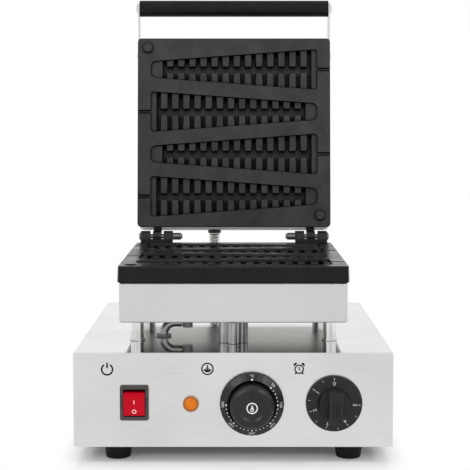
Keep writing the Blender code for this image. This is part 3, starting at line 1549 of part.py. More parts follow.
def gland_profile(length):
    """Hose gland: the nut is under the sheet, the body above it, and the bore goes through."""
    nut_low = -SHEET - SEAT - GLAND_NUT_HEIGHT
    return (
        (HOSE_BORE, nut_low),
        (HOSE_THREAD + GROMMET_LIP, nut_low),
        (HOSE_THREAD + GROMMET_LIP, -SHEET - SEAT),
        (HOSE_THREAD, -SHEET - SEAT),
        (HOSE_THREAD, SEAT),
        (HOSE_GLAND_RADIUS, SEAT),
        (HOSE_GLAND_RADIUS, length - GROMMET_LIP),
        (HOSE_GLAND_RADIUS - GROMMET_LIP / 2, length),
        (HOSE_BORE, length),
    )


def hose_route():
    """Points along the hose, closely spaced, from the body to the open lid."""
    opened = at(0, HINGE_Y, HINGE_Z) @ Matrix.Rotation(OPEN_ANGLE, 4, "X")
    foot = Vector((HOSE_X, HOSE_BASE_Y, BODY_TOP + HOSE_GLAND_LENGTH + SEAT))
    head = opened @ Vector((HOSE_X, LID_WALL_Y + LID_GLAND_LENGTH + SEAT, HOSE_GLAND_T))
    up = Vector((0, 0, 1))
    down = opened.to_3x3() @ Vector((0, 1, 0))
    start = foot + up * HOSE_STRAIGHT
    end = head + down * HOSE_STRAIGHT
    span = (end - start).length
    fine = 160
    points = [foot]
    for step in range(fine + 1):
        t = step / fine
        point = (
            start * (2 * t**3 - 3 * t**2 + 1)
            + up * span * (t**3 - 2 * t**2 + t)
            + end * (3 * t**2 - 2 * t**3)
            - down * span * (t**3 - t**2)
        )
        point.y += HOSE_BULGE * math.sin(math.pi * t) ** 2
        points.append(point)
    points.append(head)
    return points


def evenly_spaced(points, count):
    """Points at equal steps along a route."""
    lengths = [0.0]
    for before, after in zip(points, points[1:]):
        lengths.append(lengths[-1] + (after - before).length)
    spaced = []
    index = 0
    for step in range(count + 1):
        wanted = lengths[-1] * step / count
        while index < len(points) - 2 and lengths[index + 1] < wanted:
            index += 1
        run = lengths[index + 1] - lengths[index]
        spaced.append(points[index].lerp(points[index + 1], (wanted - lengths[index]) / run))
    return spaced, lengths[-1]


def build_hose(base, lid):
    """Corrugated metal hose with its bore, and the glands at its ends."""
    shape = bmesh.new()
    add_turned(shape, gland_profile(HOSE_GLAND_LENGTH), ROUND_SMALL, closed=True)
    add_piece("hose_gland", shape, BLACK_PLASTIC, base, (HOSE_X, HOSE_BASE_Y, BODY_TOP))
    shape = bmesh.new()
    place = at(HOSE_X, LID_WALL_Y, HOSE_GLAND_T) @ TO_REAR
    add_turned(
        shape, gland_profile(LID_GLAND_LENGTH), ROUND_SMALL, closed=True, matrix=place
    )
    add_piece("lid_gland", shape, BLACK_PLASTIC, lid)
    route = hose_route()
    length = evenly_spaced(route, 1)[1]
    count = 2 * round(length / HOSE_RIB_PITCH)
    points = evenly_spaced(route, count)[0]
    radii = [HOSE_RADIUS if index % 2 else HOSE_VALLEY for index in range(count + 1)]
    hose = add_piece("lid_hose", mesh_of_tube("lid_hose", points, radii), BRIGHT_STEEL, base)
    core = evenly_spaced(route, ROUND)[0]
    core[0] = core[0] + (core[0] - core[1]).normalized() * OVERRUN
    core[-1] = core[-1] + (core[-1] - core[-2]).normalized() * OVERRUN
    add_boolean(hose, "bore", mesh_of_tube("bore", core, [HOSE_BORE] * len(core)))


def build_switch(base):
    """Mains switch: bezel with its body, and the rocker that tilts in it."""
    proud = BEZEL_PROUD
    corner = BEZEL_CORNER
    back = proud - SWITCH_POCKET
    inner_width = SWITCH_BODY_WIDTH - 2 * SWITCH_WALL
    inner_height = SWITCH_BODY_HEIGHT - 2 * SWITCH_WALL
    edge = corner / 4
    levels = (
        (SWITCH_BODY_WIDTH, SWITCH_BODY_HEIGHT, -SWITCH_BODY_DEPTH),
        (SWITCH_BODY_WIDTH, SWITCH_BODY_HEIGHT, SEAT),
        (BEZEL_WIDTH, BEZEL_HEIGHT, SEAT),
        (BEZEL_WIDTH, BEZEL_HEIGHT, proud - edge),
        (BEZEL_WIDTH - 2 * edge, BEZEL_HEIGHT - 2 * edge, proud),
        (SWITCH_OPENING_WIDTH, SWITCH_OPENING_HEIGHT, proud),
        (SWITCH_OPENING_WIDTH, SWITCH_OPENING_HEIGHT, proud - SWITCH_RIM),
        (inner_width, inner_height, proud - SWITCH_RIM),
        (inner_width, inner_height, back),
    )
    rings = []
    for width, height, level in levels:
        radius = corner if width >= BEZEL_WIDTH - corner else corner / 2
        rings.append(ring(rounded_rectangle(width, height, radius), level))
    shape = bmesh.new()
    place = front_place(SWITCH_X, SWITCH_Z)
    add_loft(shape, rings, matrix=place)
    housing = add_piece("switch_housing", shape, BLACK_PLASTIC, base)
    axis = at(SWITCH_X, BODY_FRONT - proud + ROCKER_AXIS_DEPTH, SWITCH_Z)
    holes = bmesh.new()
    reach = SWITCH_BODY_WIDTH / 2 + OVERRUN
    add_cylinder(
        holes, ROCKER_PIVOT_RADIUS + RUN_GAP, -reach, reach, ROUND_SMALL, axis @ ALONG_X
    )
    add_boolean(housing, "pivot", holes)
    tabs = bmesh.new()
    for row in (-1, 0, 1):
        height = row * TERMINAL_PITCH
        add_box(
            tabs,
            (
                -TERMINAL_WIDTH / 2,
                height - TERMINAL_SHEET / 2,
                -SWITCH_BODY_DEPTH - TERMINAL_LENGTH,
            ),
            (TERMINAL_WIDTH / 2, height + TERMINAL_SHEET / 2, -SWITCH_BODY_DEPTH + SHEET),
            place,
        )
    add_boolean(housing, "tabs", tabs, "UNION")
    back_face = ROCKER_FACE - ROCKER_SHOULDER
    profile = (
        (-ROCKER_FACE, -ROCKER_HALF_FACE),
        (-ROCKER_FACE, ROCKER_HALF_FACE),
        (-back_face, ROCKER_SHOULDER_HALF),
        (-back_face / 2, ROCKER_SHOULDER_HALF),
        (2 * ROCKER_PIVOT_RADIUS, 2 * ROCKER_PIVOT_RADIUS),
        (2 * ROCKER_PIVOT_RADIUS, -2 * ROCKER_PIVOT_RADIUS),
        (-back_face / 2, -ROCKER_SHOULDER_HALF),
        (-back_face, -ROCKER_SHOULDER_HALF),
    )
    half = SWITCH_OPENING_WIDTH / 2 - RUN_GAP
    shape = bmesh.new()
    add_prism(shape, profile, -half, half, PROFILE_ALONG_X)
    rest = math.radians(ROCKER_TILT_DEGREES)
    rocker = add_piece(
        "rocker", shape, RED_PLASTIC, base, axis.to_translation(), (rest, 0, 0)
    )
    pivots = bmesh.new()
    reach = inner_width / 2 + SWITCH_WALL / 2
    add_cylinder(pivots, ROCKER_PIVOT_RADIUS, -reach, reach, ROUND_SMALL, ALONG_X)
    add_boolean(rocker, "pivots", pivots, "UNION")


def build_lamp(base):
    """Indicator lamp: lens in a rim on the panel, lamp body behind it."""
    neck_end = -SHEET - SEAT - LAMP_NECK_RADIUS / 2
    profile = (
        (0, LAMP_RIM_HEIGHT + LAMP_DOME),
        (LAMP_DOME_RADIUS * HEAD_TOP_SHARE, LAMP_RIM_HEIGHT + LAMP_DOME * HEAD_DOME_SHARE),
        (LAMP_DOME_RADIUS, LAMP_RIM_HEIGHT + LAMP_DOME * HALF),
        (LAMP_DOME_RADIUS, LAMP_RIM_HEIGHT),
        (LAMP_RADIUS - SEAT, LAMP_RIM_HEIGHT),
        (LAMP_RADIUS, LAMP_RIM_HEIGHT - SEAT),
        (LAMP_RADIUS, SEAT),
        (LAMP_NECK_RADIUS, SEAT),
        (LAMP_NECK_RADIUS, neck_end),
        (0, neck_end),
    )
    place = front_place(LAMP_X, LAMP_Z)
    shape = bmesh.new()
    add_turned(shape, profile, ROUND, matrix=place)
    add_piece("lamp_lens", shape, ORANGE_PLASTIC, base)
    face = -SHEET - SEAT
    inner = LAMP_NECK_RADIUS + SEAT
    wall = SHEET
    floor = neck_end - SEAT
    profile = (
        (0, floor),
        (inner, floor),
        (inner, face),
        (inner + 2 * wall, face),
        (inner + 2 * wall, floor),
        (LAMP_BODY_RADIUS, floor - wall),
        (LAMP_BODY_RADIUS, -LAMP_BODY_DEPTH),
        (0, -LAMP_BODY_DEPTH),
    )
    shape = bmesh.new()
    add_turned(shape, profile, ROUND_SMALL, matrix=place)
    add_piece("lamp_body", shape, GREY_PLASTIC, base)


def box_with_bore(base, name, place, width, height, depth, finish):
    """Closed body behind the panel with a bore for the stem of a knob, and two tabs."""
    face = -SHEET - SEAT
    outline = rounded_rectangle(width, height, CORNER_RADIUS)
    shape = bmesh.new()
    add_prism(shape, outline, face - depth, face, place)
    body = add_piece(name, shape, finish, base)
    bore = bmesh.new()
    low = face - SHAFT_REACH - 2 * SEAT
    add_cylinder(bore, SHAFT_RADIUS + RUN_GAP, low, face + OVERRUN, ROUND_SMALL, place)
    add_boolean(body, "bore", bore)
    tabs = bmesh.new()
    back = face - depth
    for side in (-1, 1):
        middle = side * TERMINAL_PITCH / 2
        add_box(
            tabs,
            (middle - TERMINAL_SHEET / 2, -TERMINAL_WIDTH / 2, back - TERMINAL_LENGTH),
            (middle + TERMINAL_SHEET / 2, TERMINAL_WIDTH / 2, back + SHEET),
            place,
        )
    add_boolean(body, "tabs", tabs, "UNION")


def stem_profile(seat):
    """Stem of a knob, from its tip in the body behind the panel up to the knob's underside."""
    tip = -SHEET - SEAT - SHAFT_REACH
    return [(0, tip), (SHAFT_RADIUS, tip), (SHAFT_RADIUS, seat)]


def build_thermostat(base):
    """Thermostat with its fixed scale ring, its knob and its capillary with the bulb."""
    place = front_place(THERMOSTAT_X, THERMOSTAT_Z)
    box_with_bore(
        base, "thermostat_body", place, THERMOSTAT_BODY_WIDTH, THERMOSTAT_BODY_HEIGHT,
        THERMOSTAT_BODY_DEPTH, CERAMIC,
    )
    hole = SHAFT_RADIUS + RUN_GAP
    profile = (
        (hole, SEAT),
        (DIAL_RADIUS, SEAT),
        (DIAL_RADIUS, DIAL_RIM_HEIGHT),
        (DIAL_RADIUS - DIAL_EDGE, DIAL_RIM_HEIGHT + DIAL_EDGE),
        (DIAL_INNER + DIAL_EDGE, DIAL_HEIGHT),
        (DIAL_INNER, DIAL_HEIGHT - DIAL_EDGE),
        (DIAL_INNER, DIAL_FLOOR),
        (hole, DIAL_FLOOR),
    )
    shape = bmesh.new()
    add_turned(shape, profile, ROUND_FINE, closed=True, matrix=place)
    add_piece("thermostat_dial", shape, BLACK_PLASTIC, base)
    seat = DIAL_FLOOR + RUN_GAP
    top = KNOB_HEIGHT
    profile = stem_profile(seat)
    profile += [
        (KNOB_RADIUS, seat),
        (KNOB_FRONT_RADIUS, top - KNOB_EDGE),
        (KNOB_FRONT_RADIUS - KNOB_EDGE * (1 - HEAD_TOP_SHARE), top - KNOB_EDGE / 3),
        (KNOB_FRONT_RADIUS - KNOB_EDGE, top),
        (KNOB_BOSS_RADIUS, top),
        (KNOB_BOSS_RADIUS - KNOB_BOSS, top + KNOB_BOSS),
        (0, top + KNOB_BOSS),
    ]
    shape = bmesh.new()
    add_turned(shape, profile, ROUND_FINE)
    knob = add_piece(
        "thermostat_knob", shape, BLACK_PLASTIC, base,
        (THERMOSTAT_X, BODY_FRONT, THERMOSTAT_Z), (math.pi / 2, 0, 0),
    )
    pointer = bmesh.new()
    add_box(
        pointer,
        (-KNOB_POINTER_WIDTH / 2, KNOB_BOSS_RADIUS, top - KNOB_BOSS),
        (
            KNOB_POINTER_WIDTH / 2,
            KNOB_FRONT_RADIUS - KNOB_EDGE / 2,
            top + KNOB_POINTER_HEIGHT,
        ),
    )
    add_boolean(knob, "pointer", pointer, "UNION")
    back_y = BODY_FRONT + SHEET + SEAT + THERMOSTAT_BODY_DEPTH + SEAT
    start_z = THERMOSTAT_Z + THERMOSTAT_BODY_HEIGHT / 4
    hole_x, hole_y = capillary_hole()
    under_pad = HOUSING_BOTTOM + SHEET + 2 * CAPILLARY_RADIUS
    bulb_z = PLATE_BOTTOM - 2 * SEAT - BULB_RADIUS
    middle = duct_middle()
    route = [Vector((THERMOSTAT_X, back_y, start_z))]
    route += smooth_route(
        (
            (THERMOSTAT_X, back_y + 2 * CAPILLARY_RADIUS, start_z),
            (THERMOSTAT_X / 2, (back_y + middle) / 2, start_z + CONDUIT_BEND),
            (0, middle, BODY_TOP - SHEET),
            (0, middle, HOUSING_BOTTOM - CAPILLARY_RADIUS),
            (0, middle + 2 * CAPILLARY_RADIUS, under_pad),
            (hole_x / 2, (middle + hole_y) / 2, under_pad),
            (hole_x - CAPILLARY_RADIUS, hole_y, under_pad + 2 * CAPILLARY_RADIUS),
            (hole_x, hole_y, bulb_z - 2 * BULB_RADIUS),
            (hole_x + BULB_RADIUS, hole_y, bulb_z),
        ),
        2,
    )
    radii = [CAPILLARY_RADIUS] * len(route)
    half = BULB_LENGTH / 2
    ends = ((-half, CAPILLARY_RADIUS), (-half + CAPILLARY_RADIUS, BULB_RADIUS),
            (half - CAPILLARY_RADIUS, BULB_RADIUS), (half, CAPILLARY_RADIUS))
    for x, radius in ends:
        route.append(Vector((x, hole_y, bulb_z)))
        radii.append(radius)
    add_tube("thermostat_capillary", route, radii, BRIGHT_STEEL, base)


def build_timer(base):
    """Mechanical timer and its knob with a skirt, a hub and a grip bar."""
    place = front_place(TIMER_X, TIMER_Z)
    box_with_bore(
        base, "timer_body", place, TIMER_BODY_SIZE, TIMER_BODY_SIZE, TIMER_BODY_DEPTH,
        GREY_PLASTIC,
    )
    profile = stem_profile(TIMER_LIFT)
    rim = TIMER_SKIRT / 3
    profile += [
        (TIMER_SKIRT_RADIUS, TIMER_LIFT),
        (TIMER_SKIRT_RADIUS, TIMER_LIFT + rim),
        (TIMER_SKIRT_RADIUS - rim, TIMER_LIFT + 2 * rim),
        (TIMER_HUB_RADIUS, TIMER_LIFT + TIMER_SKIRT),
        (TIMER_HUB_RADIUS - rim / 2, TIMER_HUB - rim / 2),
        (TIMER_HUB_RADIUS - rim, TIMER_HUB),
        (0, TIMER_HUB),
    ]
    shape = bmesh.new()
    add_turned(shape, profile, ROUND_FINE)
    knob = add_piece(
        "timer_knob", shape, BLACK_PLASTIC, base, (TIMER_X, BODY_FRONT, TIMER_Z),
        (math.pi / 2, 0, 0),
    )
    rings = []
    for inset, height in (
        (0, TIMER_LIFT + TIMER_SKIRT),
        (rim / 4, TIMER_BAR_HEIGHT - rim),
        (rim, TIMER_BAR_HEIGHT),
    ):
        outline = rounded_rectangle(
            TIMER_BAR_WIDTH - 2 * inset,
            TIMER_BAR_LENGTH - 2 * inset,
            TIMER_SKIRT + rim - inset,
            steps=3,
        )
        rings.append(ring(outline, height))
    bar = bmesh.new()
    add_loft(bar, rings)
    add_boolean(knob, "bar", bar, "UNION")


def build_wiring_parts(base):
    """Terminal block on the bottom cover and the gland of the mains cord."""
    low = FOOT_HEIGHT + COVER_SHEET + SEAT
    high = low + TERMINAL_BLOCK_HEIGHT
    half_width = TERMINAL_BLOCK_WIDTH / 2
    half_depth = TERMINAL_BLOCK_DEPTH / 2
    step = TERMINAL_BLOCK_STEP
    profile = (
        (-half_depth, low),
        (half_depth, low),
        (half_depth, high - step),
        (half_depth - step, high - step),
        (half_depth - step, high),
        (-half_depth + step, high),
        (-half_depth + step, high - step),
        (-half_depth, high - step),
    )
    shape = bmesh.new()
    place = at(BLOCK_X, BLOCK_Y, 0)
    add_prism(shape, profile, -half_width, half_width, place @ PROFILE_ALONG_X)
    block = add_piece("terminal_block", shape, CERAMIC, base)
    ports = bmesh.new()
    reach = half_depth + OVERRUN
    pitch = TERMINAL_BLOCK_WIDTH / TERMINAL_BLOCK_PORTS
    for index in range(TERMINAL_BLOCK_PORTS):
        x = BLOCK_X + (index - (TERMINAL_BLOCK_PORTS - 1) / 2) * pitch
        port = at(x, BLOCK_Y, low + TERMINAL_BLOCK_HEIGHT / 3) @ TO_REAR
        add_cylinder(ports, TERMINAL_BLOCK_PORT, -reach, reach, ROUND_TINY, port)
    add_boolean(block, "ports", ports)
    nut_low = -SHEET - SEAT - CORD_GLAND_NUT
    profile = (
        (CORD_GLAND_BORE, nut_low),
        (CORD_GLAND_RADIUS, nut_low),
        (CORD_GLAND_RADIUS, -SHEET - SEAT),
        (CORD_GLAND_THREAD, -SHEET - SEAT),
        (CORD_GLAND_THREAD, SEAT),
        (CORD_GLAND_RADIUS, SEAT),
        (CORD_GLAND_RADIUS, CORD_GLAND_LENGTH / 2),
        (CORD_GLAND_THREAD, CORD_GLAND_LENGTH),
        (CORD_GLAND_BORE, CORD_GLAND_LENGTH),
    )
    shape = bmesh.new()
    place = at(CORD_GLAND_X, BODY_REAR, CORD_GLAND_Z) @ TO_REAR
    add_turned(shape, profile, ROUND_SMALL, closed=True, matrix=place)
    add_piece("cord_gland", shape, BLACK_PLASTIC, base)


def base_shift():
    """Y of the middle of the body that brings the middle of the whole machine to the origin."""
    front = BODY_DEPTH / 2 + max(KNOB_HEIGHT + KNOB_BOSS, TIMER_BAR_HEIGHT)
    cover_top = LID_TOP + SEAT + LID_COVER_SHEET
    reaches = []
    for y, z in (
        (LID_FRONT_Y - LID_COVER_OVERHANG, cover_top),
        (LID_MIDDLE_Y - LID_COVER_SCREW_Y, cover_top + LID_COVER_SCREW_HEAD),
    ):
        reaches.append(HINGE_Y + y * math.cos(OPEN_ANGLE) - z * math.sin(OPEN_ANGLE))
    return (front - max(reaches)) / 2


def main():
    """Build the whole machine."""
    clear_scene()
    base = add_empty("base_frame", (0, base_shift(), 0))
    lid = add_empty("lid_frame", (0, HINGE_Y, HINGE_Z), OPEN_ANGLE, base)
    build_body_shell(base)
    build_bottom_cover(base)
    build_feet(base)
    build_posts(base)
    build_wire_duct(base)
    build_conduit(base)
    build_lower_housing(base)
    build_lower_iron(base)
    build_hinges(base)
    build_switch(base)
    build_lamp(base)
    build_thermostat(base)
    build_timer(base)
    build_wiring_parts(base)
    build_hinge_arms(lid)
    build_lid_housing(lid)
    build_lid_iron(lid)
    build_handle(lid)
    build_hose(base, lid)
    bpy.context.view_layer.update()
    print("base shift in mm:", round(base_shift() * 1000, 3))


if __name__ == "__main__":
    main()
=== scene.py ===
"""Looks of the waffle stick maker: finishes, printed marks and finer pieces over its CAD frame.

The frame gives every solid in metres, with +X to the right, +Y to the rear and +Z up. Profiles,
strokes and places on the front panel are written in millimetres.
"""

import json
import logging
import math
from collections.abc import Callable, Iterable, Sequence
from dataclasses import dataclass, field
from enum import Enum
from functools import partial
from typing import ClassVar

import bmesh
import bpy
from mathutils import Matrix, Vector
from mathutils.bvhtree import BVHTree

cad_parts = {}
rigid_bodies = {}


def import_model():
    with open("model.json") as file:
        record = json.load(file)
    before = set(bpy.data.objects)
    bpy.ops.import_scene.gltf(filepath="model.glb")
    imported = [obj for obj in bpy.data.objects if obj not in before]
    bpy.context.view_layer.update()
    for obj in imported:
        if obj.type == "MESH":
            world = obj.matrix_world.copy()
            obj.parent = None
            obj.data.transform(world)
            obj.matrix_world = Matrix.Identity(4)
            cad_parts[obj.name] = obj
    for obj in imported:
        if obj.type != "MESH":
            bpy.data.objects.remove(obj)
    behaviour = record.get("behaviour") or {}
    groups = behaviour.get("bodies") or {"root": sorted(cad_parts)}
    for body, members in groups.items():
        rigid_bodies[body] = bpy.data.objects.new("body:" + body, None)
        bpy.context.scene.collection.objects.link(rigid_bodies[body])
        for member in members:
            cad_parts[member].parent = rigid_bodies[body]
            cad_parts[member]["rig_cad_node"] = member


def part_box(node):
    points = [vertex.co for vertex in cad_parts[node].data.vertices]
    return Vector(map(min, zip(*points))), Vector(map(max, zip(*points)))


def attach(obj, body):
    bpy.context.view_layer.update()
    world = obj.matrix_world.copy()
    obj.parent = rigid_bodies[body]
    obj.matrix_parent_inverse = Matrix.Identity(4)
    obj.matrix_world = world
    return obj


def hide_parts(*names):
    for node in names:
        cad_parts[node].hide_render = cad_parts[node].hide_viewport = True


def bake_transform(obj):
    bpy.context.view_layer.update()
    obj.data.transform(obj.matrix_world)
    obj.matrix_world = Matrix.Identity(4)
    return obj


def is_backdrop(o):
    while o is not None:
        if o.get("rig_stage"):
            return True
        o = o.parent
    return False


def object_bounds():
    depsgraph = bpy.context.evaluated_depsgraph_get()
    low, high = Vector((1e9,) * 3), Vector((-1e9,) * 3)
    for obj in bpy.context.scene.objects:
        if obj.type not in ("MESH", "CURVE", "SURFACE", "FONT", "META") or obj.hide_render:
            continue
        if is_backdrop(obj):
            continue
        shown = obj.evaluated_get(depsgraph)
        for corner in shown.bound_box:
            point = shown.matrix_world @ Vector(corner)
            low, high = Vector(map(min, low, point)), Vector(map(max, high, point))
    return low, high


LOG = logging.getLogger("waffle_stick_maker")
MM = 0.001
PANEL_Y = -149.235 * MM  # front face of the body
FILM = 0.05 * MM  # height of the printed ink
CAPITAL = 0.7  # height of a capital, as a share of the letter size
LETTER_WEIGHT = 0.012  # how much bolder letters are printed, as a share of their height
ALONG = 0.9  # cosine above which a direction counts as along an axis
DIAL_AT = (16.3, 55.5)  # middle of the heat knob on the panel, in millimetres
TIMER_AT = (88.0, 55.8)  # middle of the timer knob

# Groups of pieces that some lamps light alone
NOT_METAL = "what isn't bare metal"
PLATES = "the plates"

Colour = tuple[float, float, float, float]
Point = tuple[float, float]
Place = tuple[float, float, float]
Inputs = dict[str | int, object]
Socket = bpy.types.NodeSocket
Piece = bpy.types.Object
Face = bmesh.types.BMFace
Edge = bmesh.types.BMEdge


def linear(code: str) -> Colour:
    """Turns an sRGB hex colour into the linear one that shaders take.

    Args:
        code: Six hex digits, such as "d6d6d4".

    Returns:
        Red, green, blue and alpha, from 0 to 1.
    """
    parts = [int(code[start : start + 2], 16) / 255 for start in (0, 2, 4)]
    red, green, blue = (
        part / 12.92 if part <= 0.04045 else ((part + 0.055) / 1.055) ** 2.4 for part in parts
    )
    return (red, green, blue, 1.0)


@dataclass(frozen=True)
class Nodes:
    """A node tree in the making, with short forms for the nodes that come up again and again.

    Args:
        tree: The tree.
        shader: Its surface shader, where it has one.
    """

    tree: bpy.types.NodeTree
    shader: bpy.types.Node | None = None

    def add(self, kind: str, inputs: Inputs | None = None, **settings: object) -> bpy.types.Node:
        """Adds a node with its settings and its inputs.

        Args:
            kind: Name of the node type, without the ShaderNode that all start with.
            inputs: Input names or numbers, each with a value or with the output that feeds it.
            settings: Properties of the node itself.

        Returns:
            The new node.
        """
        node = self.tree.nodes.new(f"ShaderNode{kind}")
        for name, value in settings.items():
            setattr(node, name, value)
        for key, value in (inputs or {}).items():
            if isinstance(value, Socket):
                self.tree.links.new(value, node.inputs[key])
            else:
                node.inputs[key].default_value = value
        return node

    def out(self, kind: str, inputs: Inputs | None = None, **settings: object) -> Socket:
        """Adds a node, as add does, and gives its first output in use."""
        node = self.add(kind, inputs, **settings)
        return next(socket for socket in node.outputs if socket.enabled)

    def math(self, operation: str, *terms: object) -> Socket:
        """Works out a number from numbers, or from the outputs that give them."""
        return self.out("Math", dict(enumerate(terms)), operation=operation)

    def vector(self, operation: str, *terms: object) -> Socket:
        """Works out a vector or a number from vectors, or from their outputs."""
        return self.out("VectorMath", dict(enumerate(terms)), operation=operation)

    def mix(self, share: object, first: object, second: object, kind: str = "FLOAT") -> Socket:
        """Mixes two numbers or, where the kind is RGBA, two colours."""
        return self.out("Mix", {"Factor": share, "A": first, "B": second}, data_type=kind)

    def spread(
        self, value: object, low: float, high: float, to_low: float = 0.0, to_high: float = 1.0
    ) -> Socket:
        """Turns the range from low to high into another, and holds it at its ends."""
        ends = {"From Min": low, "From Max": high, "To Min": to_low, "To Max": to_high}
        return self.out("MapRange", {"Value": value, **ends})

    def where(self, kind: str = "Object", axis: str = "") -> Socket:
        """Gives the place on the object, its Normal or its UV, or one axis of it."""
        found = self.add("TexCoord").outputs[kind]
        return self.add("SeparateXYZ", {"Vector": found}).outputs[axis] if axis else found

    def noise(
        self, *, detail: float, scale: float = 1.0, stretch: Sequence[float] = (1, 1, 1),
        **inputs: float,
    ) -> Socket:
        """Fills the object with noise: its detail, its lumps in each metre and its stretch."""
        place = self.out("Mapping", {"Vector": self.where(), "Scale": tuple(stretch)})
        return self.out("TexNoise", {"Vector": place, "Scale": scale, "Detail": detail, **inputs})

    def put(self, values: dict[str, object]) -> None:
        """Sets inputs of the surface shader."""
        for name, value in values.items():
            self.shader.inputs[name].default_value = value

    def feed(self, name: str, source: Socket) -> Socket:
        """Links an output to an input of the surface shader, and gives it back."""
        self.tree.links.new(source, self.shader.inputs[name])
        return source

    def tint(self, amount: Socket, low: str, high: str, ends: Point = (0.3, 0.7)) -> Socket:
        """Lets a pattern turn the base colour from one shade to another.

        Args:
            amount: The pattern, from 0 to 1.
            low: Colour where the pattern is low, as sRGB hex.
            high: Colour where it is high.
            ends: Pattern values where the two colours are reached.

        Returns:
            The colour.
        """
        ramp = self.add("ValToRGB", {"Fac": amount})
        for stop, place, code in zip(ramp.color_ramp.elements, ends, (low, high)):
            stop.position = place
            stop.color = linear(code)
        return self.feed("Base Color", ramp.outputs["Color"])

    def roughen(self, amount: Socket, middle: float, swing: float) -> Socket:
        """Lets a pattern swing the roughness to both sides of its middle."""
        ends = (max(middle - swing, 0.02), middle + swing)
        return self.feed("Roughness", self.spread(amount, 0.25, 0.75, *ends))

    def relief(self, height: Socket, distance: float, strength: float = 1.0) -> None:
        """Gives the surface a relief of a real height in metres."""
        inputs = {"Distance": distance, "Strength": strength, "Height": height}
        self.feed("Normal", self.out("Bump", inputs))


class Grain(Enum):
    """Direction that a brushed or turned surface's lines run in."""

    ALONG_X = (0.02, 1.0, 1.0)
    ALONG_Z = (1.0, 1.0, 0.02)
    ROUND_Z = (0.04, 0.04, 1.0)
    ROUND_X = (1.0, 0.04, 0.04)


@dataclass(frozen=True)
class Finish:
    """A surface finish, made into a material once and then shared.

    Args:
        title: Common name of the material and how its surface was made.
        colour: Main colour, as sRGB hex.
        roughness: Middle roughness of the surface.
        specular: Specular level of the shader.
    """

    title: str
    colour: str
    roughness: float
    specular: float = 0.5
    metallic: ClassVar[float] = 0.0

    def material(self) -> bpy.types.Material:
        """Makes the material, or finds it where it was made before.

        Returns:
            The material.
        """
        known = bpy.data.materials.get(self.title)
        if known:
            return known
        made = bpy.data.materials.new(self.title)
        made.use_nodes = True
        made.node_tree.nodes.clear()
        inputs = {
            "Base Color": linear(self.colour),
            "Metallic": self.metallic,
            "Roughness": self.roughness,
            "Specular IOR Level": self.specular,
        }
        nodes = Nodes(made.node_tree)
        shader = nodes.add("BsdfPrincipled", inputs)
        nodes.add("OutputMaterial", {"Surface": shader.outputs["BSDF"]})
        self.dress(Nodes(made.node_tree, shader))
        return made

    def dress(self, nodes: Nodes) -> None:
        """Adds what is special to the finish. The plain finish has nothing more."""


@dataclass(frozen=True)
class BrushedStainless(Finish):
    """Stainless steel sheet with a belt-ground grain: fine straight lines that soften its gloss.

    Args:
        grain: Direction of the lines.
        line: Spacing of the lines in metres, coarser than the real 0.05 mm so that they show.
        glossy_above: Height in metres above which the sheet is polished instead, or None.
        dark: Colour in the lines.
        painted_underside_shade: Painted shade: colours of faces that look down, in front and
            behind.
        painted_shade_fade: Depth in metres where the painted shade starts to clear, and ends.
    """

    metallic: ClassVar[float] = 1.0
    grain: Grain = Grain.ALONG_X
    line: float = 0.4 * MM
    glossy_above: float | None = None
    dark: str = "c9c9c7"
    painted_underside_shade: tuple[str, str] | None = None
    painted_shade_fade: Point = (-62 * MM, 2 * MM)

    def dress(self, nodes: Nodes) -> None:
        """Adds the grain, a soft cloudy tone, painted shade on faces that look down where set and,
        on a polished top, the mask that clears the gloss.

        Args:
            nodes: The material's nodes.
        """
        stretch = [part / self.line for part in self.grain.value]
        lines = nodes.noise(detail=3.0, stretch=stretch, Roughness=0.6)
        clouds = nodes.noise(detail=2.0, stretch=(9.0, 14.0, 14.0))
        both = nodes.mix(0.45, lines, clouds)
        colour = nodes.tint(both, self.dark, self.colour, ends=(0.34, 0.62))
        rough = nodes.roughen(lines, self.roughness, swing=0.06)
        nodes.relief(lines, distance=0.003 * MM)
        # Painted shade: faces that look down take a dark colour in front that fades to a pale one
        # behind, as the lower side lies in shade.
        if self.painted_underside_shade is not None:
            front, behind = map(linear, self.painted_underside_shade)
            depth = nodes.spread(nodes.where(axis="Y"), *self.painted_shade_fade)
            painted_shade = nodes.mix(depth, front, behind, "RGBA")
            down = nodes.math("LESS_THAN", nodes.where("Normal", "Z"), -ALONG)
            nodes.feed("Base Color", nodes.mix(down, colour, painted_shade, "RGBA"))
        if self.glossy_above is not None:
            top = nodes.math("GREATER_THAN", nodes.where(axis="Z"), self.glossy_above)
            smooth = nodes.spread(clouds, low=0.0, high=1.0, to_low=0.055, to_high=0.085)
            nodes.feed("Roughness", nodes.mix(top, rough, smooth))


@dataclass(frozen=True)
class TurnedSteel(Finish):
    """Bright turned or drawn steel: near mirror gloss with faint lines.

    Args:
        grain: Direction of the lines.
        dark: Colour in the lines.
        line: Spacing of the lines in metres.
        ends: Pattern values where the dark and the main colour are reached.
    """

    metallic: ClassVar[float] = 1.0
    grain: Grain = Grain.ROUND_Z
    dark: str = "b9b9b6"
    line: float = 0.4 * MM
    ends: Point = (0.30, 0.55)

    def dress(self, nodes: Nodes) -> None:
        """Adds fine lines, and a slight fingered haze.

        Args:
            nodes: The material's nodes.
        """
        rings = nodes.noise(detail=1.0, stretch=[part / self.line for part in self.grain.value])
        haze = nodes.noise(scale=120.0, detail=3.0)
        nodes.tint(rings, self.dark, self.colour, self.ends)
        nodes.roughen(haze, self.roughness, swing=0.03)
        nodes.relief(rings, distance=0.001 * MM)


